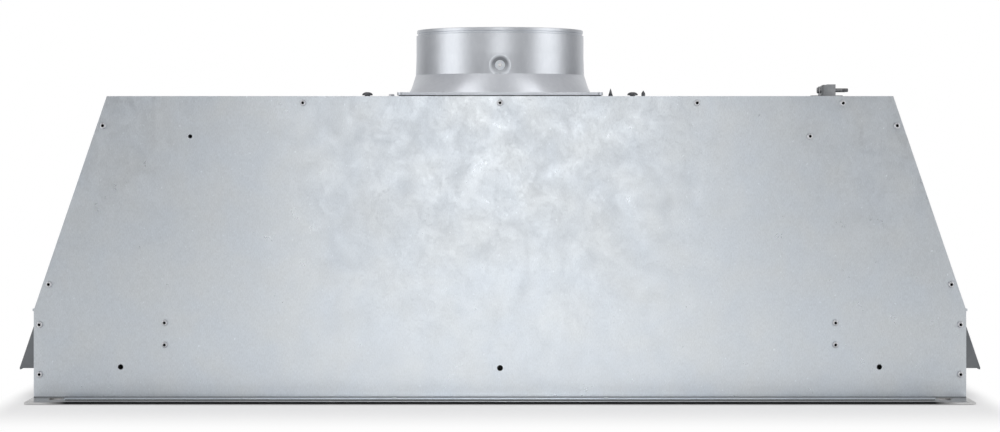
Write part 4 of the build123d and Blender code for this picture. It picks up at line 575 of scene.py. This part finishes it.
def crossCutter(width, slot, depth, top):
    # plus-shaped driver recess that narrows downwards
    half, thin = width / 2, slot / 2
    outline = [(thin, half), (-thin, half), (-thin, thin), (-half, thin), (-half, -thin), (-thin, -thin),
               (-thin, -half), (thin, -half), (thin, -thin), (half, -thin), (half, thin), (thin, thin)]
    verts, count = [], len(outline)
    for height, share in ((top + 0.4, 1.06), (top - depth, 0.55)):
        verts += [(x * share * milli, y * share * milli, height * milli) for x, y in outline]
    faces = [tuple(range(count)), tuple(range(2 * count - 1, count - 1, -1))]
    faces += [(k, count + k, count + (k + 1) % count, (k + 1) % count) for k in range(count)]
    return meshFrom("driverRecess", verts, faces)


def cutRecess(mesh, cutter):
    # faces that the cutter leaves are marked, so that the tree can give them the dark finish of painted shade
    body, tool = objectOf(mesh, "recessBody"), objectOf(cutter, "recessTool")
    body.data.materials.append(finishes["zinc_screws"])
    tool.data.materials.append(recessDark)
    body.data.materials.append(recessDark)
    faceOutward(tool.data)
    cut = body.modifiers.new("recess", "BOOLEAN")
    cut.operation, cut.solver, cut.object = "DIFFERENCE", "EXACT", tool
    made = plainMesh(body, mesh.name + "Cut")
    dark = made.attributes.new("recess", "BOOLEAN", "FACE")
    dark.data.foreach_set("value", [made.materials[f.material_index] == recessDark for f in made.polygons])
    bpy.data.objects.remove(body)
    bpy.data.objects.remove(tool)
    return made


def faceOutward(mesh):
    shape = bmesh.new()
    shape.from_mesh(mesh)
    bmesh.ops.remove_doubles(shape, verts=shape.verts, dist=1e-7)
    bmesh.ops.recalc_face_normals(shape, faces=shape.faces)
    shape.to_mesh(mesh)
    shape.free()


def plainMesh(thing, name):
    bpy.context.view_layer.update()
    ready = thing.evaluated_get(bpy.context.evaluated_depsgraph_get())
    mesh = bpy.data.meshes.new_from_object(ready)
    mesh.name = name
    return mesh


def smooth(mesh):
    mesh.polygons.foreach_set("use_smooth", [True] * len(mesh.polygons))
    mesh.set_sharp_from_angle(angle=math.radians(32))
    return mesh


class Layout(Graph):
    # a geometry tree with named inputs; run() returns the plain mesh that it makes
    def __init__(self, name, inputs):
        super().__init__(bpy.data.node_groups.new(name, "GeometryNodeTree"))
        face = self.tree.interface
        face.new_socket("Geometry", in_out="INPUT", socket_type="NodeSocketGeometry")
        self.names = {}
        for label, (kind, value) in inputs.items():
            made = face.new_socket(label, in_out="INPUT", socket_type="NodeSocket" + kind)
            self.names[label] = (made.identifier, value)
        face.new_socket("Geometry", in_out="OUTPUT", socket_type="NodeSocketGeometry")
        self.start = self.tree.nodes.new("NodeGroupInput")

    def input(self, label):
        return Link(self, self.start.outputs[label])

    def facing(self, axis):
        # turns an axis of each instance to its point's aim
        aim = self.add("GeometryNodeInputNamedAttribute", {"data_type": "FLOAT_VECTOR"}, {"Name": "aim"})
        return self.add("FunctionNodeAlignRotationToVector", {"axis": axis}, {"Vector": aim})

    def end(self, geometry, finish, darkFinish=None):
        real = self.add("GeometryNodeRealizeInstances", None, {"Geometry": geometry})
        dressed = self.add("GeometryNodeSetMaterial", None, {"Geometry": real, "Material": finish})
        if darkFinish:
            dark = self.add("GeometryNodeInputNamedAttribute", {"data_type": "BOOLEAN"}, {"Name": "recess"})
            dressed = self.add("GeometryNodeSetMaterial", None, {
                "Geometry": dressed, "Selection": dark, "Material": darkFinish})
        self.add("NodeGroupOutput", None, {"Geometry": dressed})

    def run(self, points, name, **changed):
        host = objectOf(points, name + "Host")
        modifier = host.modifiers.new(name, "NODES")
        modifier.node_group = self.tree
        for label, (identifier, value) in self.names.items():
            modifier[identifier] = changed.get(label.replace(" ", ""), value)
        mesh = plainMesh(host, name)
        bpy.data.objects.remove(host)
        return mesh


def pointsMesh(name, places, aims):
    mesh = bpy.data.meshes.new(name)
    mesh.from_pydata([tuple(p) for p in places], [], [])
    aim = mesh.attributes.new("aim", "FLOAT_VECTOR", "POINT")
    aim.data.foreach_set("vector", [x for a in aims for x in a])
    return mesh


def makePlacingTree():
    # puts one fastener on every place, pointing along its aim and turned at random round it
    layout = Layout("fastenersOnPlaces", {
        "Fastener": ("Object", None), "Size": ("Float", 1.0), "Turn Seed": ("Int", 3),
        "Finish": ("Material", None), "Recess Finish": ("Material", None)})
    fastener = layout.input("Fastener")
    shape = layout.add("GeometryNodeObjectInfo", None, {"Object": fastener}, output="Geometry")
    facing = layout.facing("Z")
    spin = layout.add("FunctionNodeRandomValue", {"data_type": "FLOAT"}, {
        2: 0.0, 3: 2 * math.pi, "Seed": layout.input("Turn Seed")}, output=1)
    turn = layout.add("FunctionNodeAxisAngleToRotation", None, {"Axis": (0, 0, 1), "Angle": spin})
    turned = layout.add("FunctionNodeRotateRotation", {"rotation_space": "LOCAL"}, {
        "Rotation": facing, "Rotate By": turn})
    placed = layout.add("GeometryNodeInstanceOnPoints", None, {
        "Points": layout.input("Geometry"), "Instance": shape, "Rotation": turned,
        "Scale": layout.input("Size")})
    layout.end(placed, layout.input("Finish"), layout.input("Recess Finish"))
    return layout


placingTree = makePlacingTree()


def placeFasteners(name, mesh, places, aims, finish, seed=3):
    source = objectOf(mesh, name + "Source")
    made = placingTree.run(pointsMesh(name + "Places", places, aims), name, Fastener=source, TurnSeed=seed,
                           Finish=finish, RecessFinish=recessDark)
    bpy.data.objects.remove(source)
    return smooth(made)


def pieceFrom(name, meshes, body, replaced):
    # joins meshes as one piece with its own materials, riding on a body
    parts = [objectOf(mesh, name + "Part") for mesh in meshes]
    piece = parts[0]
    if len(parts) > 1:
        with bpy.context.temp_override(active_object=piece, selected_editable_objects=parts,
                                       selected_objects=parts):
            bpy.ops.object.join()
    piece.name = name
    piece.data.name = name
    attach(piece, body)
    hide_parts(*replaced)


# Rivets: a domed head, its top at z = 0, over a short shank
hemRivet = {"tip": 1.55, "shank": 1.6, "chamfer": 0.1, "brim": 1.0, "dome": 0.85, "rounding": (30, 60)}
footRivet = {"tip": 1.55, "shank": 1.75, "chamfer": 0.2, "brim": 1.2, "dome": 1.05,
             "rounding": (20, 40, 60, 78), "radius": 3.0}


def makeRivet(name, look, tall, wide, steps):
    dome = look["dome"]
    profile = [(0, -tall), (look["tip"], -tall), (look["shank"], -tall + look["chamfer"]),
               (look["shank"], -look["brim"]), (wide, -look["brim"]), (wide, -dome)]
    for angle in map(math.radians, look["rounding"]):
        profile.append((wide * math.cos(angle), dome * math.sin(angle) - dome))
    return turnedMesh(name, profile + [(0, 0)], steps)


# Panel screws: pan head, driver recess and a threaded point
panScrew = {
    "headRadius": 3.6,
    "headHeight": 2.9,
    "rim": 0.9,
    "crown": 1.9,
    "recessWidth": 3.1,
    "recessSlot": 1.9,
    "recessDepth": 2.3,
    "threadRadius": 2.0,
    "threadCore": 1.55,
    "threadPitch": 1.4,
}


def makePanScrew(look, length):
    # the head stands on z = 0, or on a neck if it has one, and the thread points down
    radius, height, crown, rim = look["headRadius"], look["headHeight"], look["crown"], look["rim"]
    neck, lift = look.get("neck", (0, 0))
    profile = [(0, 0), (neck, 0), (neck, lift)] if neck else [(0, 0)]
    profile += [(radius - 0.25, lift), (radius, lift + 0.25), (radius, lift + rim)]
    for k in range(1, 8):
        angle = math.radians(90 * k / 7)
        profile.append((crown + (radius - crown) * math.cos(angle),
                        lift + rim + (height - rim) * math.sin(angle)))
    top = height + lift
    head = turnedMesh("panHead", profile + [(0, top)], 36)
    head = cutRecess(head, crossCutter(look["recessWidth"], look["recessSlot"], look["recessDepth"], top))
    rows = threadRings(look["threadRadius"], look["threadCore"], -length, look["threadPitch"], 0.2, 3.0)
    shank = ringedMesh("panShank", rows[::-1], (-length + 0.2 - 0.3, 0.2))
    joined = bmesh.new()
    joined.from_mesh(head)
    joined.from_mesh(shank)
    joined.to_mesh(head)
    joined.free()
    bpy.data.meshes.remove(shank)
    return head


def makePanelScrews():
    # screws lie along Y, rivets stand upright
    screwPlaces, screwAims, rivets, length = [], [], [], 0.0
    head = panScrew["headHeight"]
    for low, high in boxesOf("panel_screws"):
        size, middle = high - low, (low + high) / 2
        if size.y > size.x * 1.2:   # longer than wide
            face = low.y + head / 1000 if middle.y < 0 else high.y - head / 1000
            screwPlaces.append((middle.x, face, middle.z))
            screwAims.append((0, -1 if middle.y < 0 else 1, 0))
            length = size.y * 1000 - head
        else:
            rivets.append((low, high))
    meshes = [placeFasteners("panelScrews", makePanScrew(panScrew, length), screwPlaces, screwAims,
                             finishes["zinc_screws"])]
    print("panel screws:", len(screwPlaces), "rivets:", len(rivets), "length", round(length, 2))
    low, high = rivets[0]
    rivet = makeRivet("hemRivet", hemRivet, (high.z - low.z) * 1000, (high.x - low.x) * 500, 20)
    rivetPlaces = [((low.x + high.x) / 2, (low.y + high.y) / 2, high.z) for low, high in rivets]
    meshes.append(placeFasteners("hemRivets", rivet, rivetPlaces, [(0, 0, 1)] * len(rivets),
                                 finishes["zinc_screws"]))
    pieceFrom("panelScrewsDetailed", meshes, "insert", ("panel_screws",))


makePanelScrews()


# On the roof: two tall round heads on necks, a small light screw, two screws whose points stand up
# through the sheet, rivets at the collar's foot, and the cable clamp's locknut below
domeScrew = {
    "headRadius": 6.4,
    "headHeight": 4.0,
    "rim": 0.5,
    "crown": 0.6,
    "neck": (3.3, 4.0),
    "recessWidth": 5.4,
    "recessSlot": 1.5,
    "recessDepth": 2.4,
    "threadRadius": 2.5,
    "threadCore": 1.95,
    "threadPitch": 1.6,
}
lowScrew = {
    "headRadius": 3.45,
    "headHeight": 6.2,
    "rim": 5.0,
    "crown": 1.6,
    "recessWidth": 3.4,
    "recessSlot": 1.0,
    "recessDepth": 1.8,
    "threadRadius": 2.2,
    "threadCore": 1.75,
    "threadPitch": 1.4,
}
pointedScrew = {"radius": 3.3, "core": 2.75, "pitch": 1.7, "headRadius": 4.9, "headHeight": 2.4, "point": 9.0}
bluntScrew = {"radius": 2.5, "core": 2.1, "pitch": 1.4, "headRadius": 4.1, "headHeight": 2.4, "point": 3.2}
locknut = {"lobes": 8, "outer": 15.0, "root": 13.4, "bore": 10.9}


def makeUpwardScrew(look, tall):
    # its head is under the sheet at z = 0 and its thread stands up
    head, wide = look["headHeight"], look["headRadius"]
    made = turnedMesh("hiddenHead", [(0, 0), (wide - 0.5, 0), (wide, 0.5), (wide, head), (0, head)], 24)
    rows = threadRings(look["radius"], look["core"], tall - head - 0.1, look["pitch"], head - 0.2,
                       look["point"], 8, 20)
    shank = ringedMesh("upwardShank", rows, (head - 0.3, tall))
    return joinMeshes("upwardScrew", [made, shank])


def makeLocknut(look, tall):
    steps = look["lobes"] * 6
    verts, faces = [], []
    for height in (0.0, tall):
        for ring in ("outer", "bore"):
            for k in range(steps):
                angle = 2 * math.pi * k / steps
                radius = look["bore"]
                if ring == "outer":
                    radius = look["outer"] if k % 6 in (0, 1, 5) else look["root"]
                verts.append(ringAt(radius, height, angle))
    for k in range(steps):
        n = (k + 1) % steps
        a, b, c, d = 0, steps, 2 * steps, 3 * steps
        faces += [(a + n, a + k, b + k, b + n), (c + k, c + n, d + n, d + k),
                  (a + k, a + n, c + n, c + k), (b + n, b + k, d + k, d + n)]
    return meshFrom("locknut", verts, faces)


# the roof's fasteners are told apart by their widths
roofWidths = {"nut": 30.0, "dome": 12.8, "pointed": 9.8, "blunt": 8.2, "low": 6.9, "rivet": 6.0}


def makeRoofFasteners():
    groups = {"dome": [], "low": [], "pointed": [], "blunt": [], "rivet": [], "nut": []}
    for low, high in boxesOf("top_fasteners"):
        wide, tall = (high.x - low.x) * 1000, (high.z - low.z) * 1000
        kind = min(roofWidths, key=lambda each: abs(roofWidths[each] - wide))
        groups[kind].append((low, high, tall))
    meshes = []

    def put(kind, mesh, finish, fromTop):
        places = []
        for low, high, tall in groups[kind]:
            middle = (low + high) / 2
            places.append((middle.x, middle.y, high.z - fromTop / 1000 if fromTop else low.z))
        meshes.append(placeFasteners(kind + "Fasteners", mesh, places, [(0, 0, 1)] * len(places), finish, 11))

    neckAndHead = domeScrew["neck"][1] + domeScrew["headHeight"]
    put("dome", makePanScrew(domeScrew, groups["dome"][0][2] - neckAndHead), roofScrewShade, neckAndHead)
    put("low", makePanScrew(lowScrew, groups["low"][0][2] - lowScrew["headHeight"]), finishes["zinc_screws"],
        lowScrew["headHeight"])
    put("pointed", makeUpwardScrew(pointedScrew, groups["pointed"][0][2]), roofScrewShade, 0)
    put("blunt", makeUpwardScrew(bluntScrew, groups["blunt"][0][2]), roofScrewShade, 0)
    put("nut", makeLocknut(locknut, groups["nut"][0][2]), finishes["zinc_screws"], 0)
    rivet = makeRivet("footRivet", footRivet, groups["rivet"][0][2], footRivet["radius"], 24)
    put("rivet", rivet, finishes["zinc_screws"], 0.0001)   # flush with the top of its solid
    print("roof fasteners:", {kind: len(group) for kind, group in groups.items()})
    pieceFrom("roofFasteners", meshes, "insert", ("top_fasteners",))


makeRoofFasteners()


def makeSpringTree():
    # a wound coil lying along Y, with a leg down from each end on its inner side
    layout = Layout("torsionSprings", {
        "Turns": ("Float", 12.0), "Coil Radius": ("Float", 0.0025), "Wire Radius": ("Float", 0.0005),
        "Length": ("Float", 0.0229), "Leg": ("Float", 0.0215), "Finish": ("Material", None)})
    length, radius, leg = (layout.input(name) for name in ("Length", "Coil Radius", "Leg"))
    wire = layout.add("GeometryNodeCurvePrimitiveCircle", None, {
        "Resolution": 8, "Radius": layout.input("Wire Radius")})
    spiral = layout.add("GeometryNodeCurveSpiral", None, {
        "Resolution": 16, "Rotations": layout.input("Turns"), "Start Radius": radius, "End Radius": radius,
        "Height": length})
    coil = layout.add("GeometryNodeCurveToMesh", None, {
        "Curve": spiral, "Profile Curve": wire, "Fill Caps": True})
    coil = layout.add("GeometryNodeTransform", None, {
        "Geometry": coil, "Translation": layout.add("ShaderNodeCombineXYZ", None, {2: length * -0.5})})
    legs = []
    for side in (-0.5, 0.5):
        start = layout.add("ShaderNodeCombineXYZ", None, {0: radius, 2: length * side})
        end = layout.add("ShaderNodeCombineXYZ", None, {0: radius, 1: leg * -1.0, 2: length * side})
        line = layout.add("GeometryNodeCurvePrimitiveLine", None, {"Start": start, "End": end})
        legs.append(layout.add("GeometryNodeCurveToMesh", None, {
            "Curve": line, "Profile Curve": wire, "Fill Caps": True}))
    joint = layout.tree.nodes.new("GeometryNodeJoinGeometry")
    for mesh in (coil, *legs):
        layout.tree.links.new(mesh.socket, joint.inputs[0])
    upright = layout.add("GeometryNodeTransform", None, {
        "Geometry": Link(layout, joint.outputs[0]), "Rotation": (math.pi / 2, 0, 0)})
    placed = layout.add("GeometryNodeInstanceOnPoints", None, {
        "Points": layout.input("Geometry"), "Instance": upright, "Rotation": layout.facing("X")})
    layout.end(placed, layout.input("Finish"))
    return layout


def makeLatchSprings():
    places, aims = [], []
    for low, high in boxesOf("latch_springs"):
        middle = (low + high) / 2
        places.append((middle.x, middle.y, high.z - 0.003))   # the coil's middle is 3 mm down
        aims.append((-1 if middle.x > 0 else 1, 0, 0))
    mesh = makeSpringTree().run(pointsMesh("springPlaces", places, aims), "latchSprings",
                                Finish=finishes["spring_steel"])
    print("latch springs:", len(places))
    pieceFrom("latchSpringsWound", [smooth(mesh)], "insert", ("latch_springs",))


makeLatchSprings()


def makeCamera():
    plan = {"place": (0.0, -2.360, 0.302), "lens": 70.38, "sensor": 36.0, "shiftDown": 0.091}
    data = bpy.data.cameras.new("viewCamera")
    data.lens, data.sensor_width = plan["lens"], plan["sensor"]
    data.shift_y = -plan["shiftDown"]
    data.clip_start, data.clip_end = 0.05, 60.0
    camera = bpy.data.objects.new("viewCamera", data)
    camera.location = plan["place"]
    camera.rotation_euler = (math.radians(90), 0, 0)
    scene.collection.objects.link(camera)
    scene.camera = camera


makeCamera()

# Studio: a soft box behind the camera, one at each side, one overhead; the room is a soft grey
studio = {
    "room": 0.22,
    "ceiling": 0.36,
    "underside": 0.75,
    "roomColour": (1.0, 0.985, 1.0),
    "front": {"place": (0.0, -2.9, 0.37), "size": (0.95, 0.74), "radiance": 2.30},
    "left": {"place": (-1.95, -0.80, 1.00), "size": (1.55, 2.00), "radiance": 1.32},
    "right": {"place": (1.95, -0.80, 1.00), "size": (1.55, 2.00), "radiance": 1.32},
    "above": {"place": (0.0, -1.20, 2.1), "size": (1.2, 1.2), "radiance": 1.2},
    "floorColour": (0.86, 0.86, 0.86),
    "backdrop": (0.55, 0.97),
    "footprint": (0.514, 0.248),
    "footprintEdge": (-0.004, 0.0),
    "clearFrom": (-0.020, -0.024),
    # painted shadow: glowNear, glowReach, glowSide and glowMirrored dim the floor's glow round the footprint,
    # more in front
    "glowNear": 0.38,
    "glowReach": (0.02, 0.19),
    "glowSide": 5.0,
    "glowMirrored": 0.20,
    "floorSize": 9.0,
    "floorDrop": 0.0006,
}


def makeLamp(name, plan):
    data = bpy.data.lights.new(name, "AREA")
    data.shape = "RECTANGLE"
    data.size, data.size_y = plan["size"]
    data.energy = plan["radiance"] * math.pi * data.size * data.size_y
    lamp = bpy.data.objects.new(name, data)
    lamp.location = plan["place"]
    lamp.rotation_euler = (Vector((0, 0, 0.2)) - lamp.location).to_track_quat("-Z", "Y").to_euler()
    lamp.visible_camera = False
    scene.collection.objects.link(lamp)


def raysOf(graph):
    # whether the camera sees a point directly, and whether it sees it in or through something
    direct, glossy, through = (graph.add("ShaderNodeLightPath", output=ray)
                               for ray in ("Is Camera Ray", "Is Glossy Ray", "Is Transmission Ray"))
    return direct, glossy + through


def makeRoom():
    world = bpy.data.worlds.new("studioRoom")
    scene.world = world
    world.use_nodes = True
    world.node_tree.nodes.clear()
    graph = Graph(world.node_tree)
    direct, mirrored = raysOf(graph)
    way = graph.add("ShaderNodeTexCoord", output="Generated")
    upward = graph.axis(way, "Z")
    room = graph.add("ShaderNodeBackground", None, {
        "Color": (*studio["roomColour"], 1),
        "Strength": graph.level(upward, 0.15, 0.9, 0.0, studio["ceiling"]) + graph.level(
            upward, -0.25, -0.60, studio["room"], studio["underside"])})
    white = graph.add("ShaderNodeBackground", None, {"Color": (1, 1, 1, 1), "Strength": 1.0})
    backdrop = graph.level(graph.axis(way, "Y"), *studio["backdrop"])
    both = graph.add("ShaderNodeMixShader", None, {0: mirrored * backdrop + direct, 1: room, 2: white})
    graph.add("ShaderNodeOutputWorld", None, {"Surface": both})


def makeFloor():
    size, drop = studio["floorSize"] / 2, studio["floorDrop"]
    corners = [(x * size, y * size, -drop) for x, y in ((-1, -1), (1, -1), (1, 1), (-1, 1))]
    floor = objectOf(meshFrom("floor", corners, [(0, 1, 2, 3)]), "floor")
    paint = bpy.data.materials.new("paleFloor")
    paint.use_nodes = True
    paint.node_tree.nodes.clear()
    graph = Graph(paint.node_tree)
    base = graph.add("ShaderNodeBsdfDiffuse", None, {"Color": (*studio["floorColour"], 1)})
    direct, glancing = raysOf(graph)
    place = graph.add("ShaderNodeTexCoord", output="Object")
    past = [graph.math("ABSOLUTE", graph.axis(place, axis)) - half
            for axis, half in zip("XY", studio["footprint"])]
    farther = graph.math("MAXIMUM", *past)
    outside = graph.level(farther, *studio["footprintEdge"])
    apart = [graph.math("MAXIMUM", p, 0.0) for p in past]
    beside = apart[0] * studio["glowSide"]
    distance = graph.math("SQRT", beside * beside + apart[1] * apart[1])
    # painted shadow over the floor's real shadow: the glow fades near the footprint, further in front than
    # beside it, also in reflections
    white = graph.add("ShaderNodeMapRange", {"interpolation_type": "SMOOTHSTEP"}, {
        "Value": distance, "From Min": studio["glowReach"][0], "From Max": studio["glowReach"][1],
        "To Min": studio["glowNear"], "To Max": 1.0}) * outside
    mirrored = graph.level(distance, 0.0, studio["glowMirrored"], studio["glowNear"], 1.0) * outside
    glow = graph.add("ShaderNodeEmission", None, {"Color": (1, 1, 1, 1), "Strength": 1.0})
    seen = direct * white + glancing * mirrored
    lit = graph.add("ShaderNodeMixShader", None, {0: seen, 1: base, 2: glow})
    # clear from below, and clear under the object, so that its underside gets the room's light
    below = graph.add("ShaderNodeNewGeometry", output="Backfacing")
    under = graph.level(farther, *studio["clearFrom"]) * (1.0 - direct)
    clear = graph.add("ShaderNodeBsdfTransparent")
    graph.add("ShaderNodeOutputMaterial", None, {
        "Surface": graph.add("ShaderNodeMixShader", None, {
            0: graph.math("MAXIMUM", below, under), 1: lit, 2: clear})})
    floor.data.materials.append(paint)


for name in ("front", "left", "right", "above"):
    makeLamp(name + "SoftBox", studio[name])
makeRoom()
makeFloor()
scene.view_settings.view_transform = "Standard"
print("studio set")
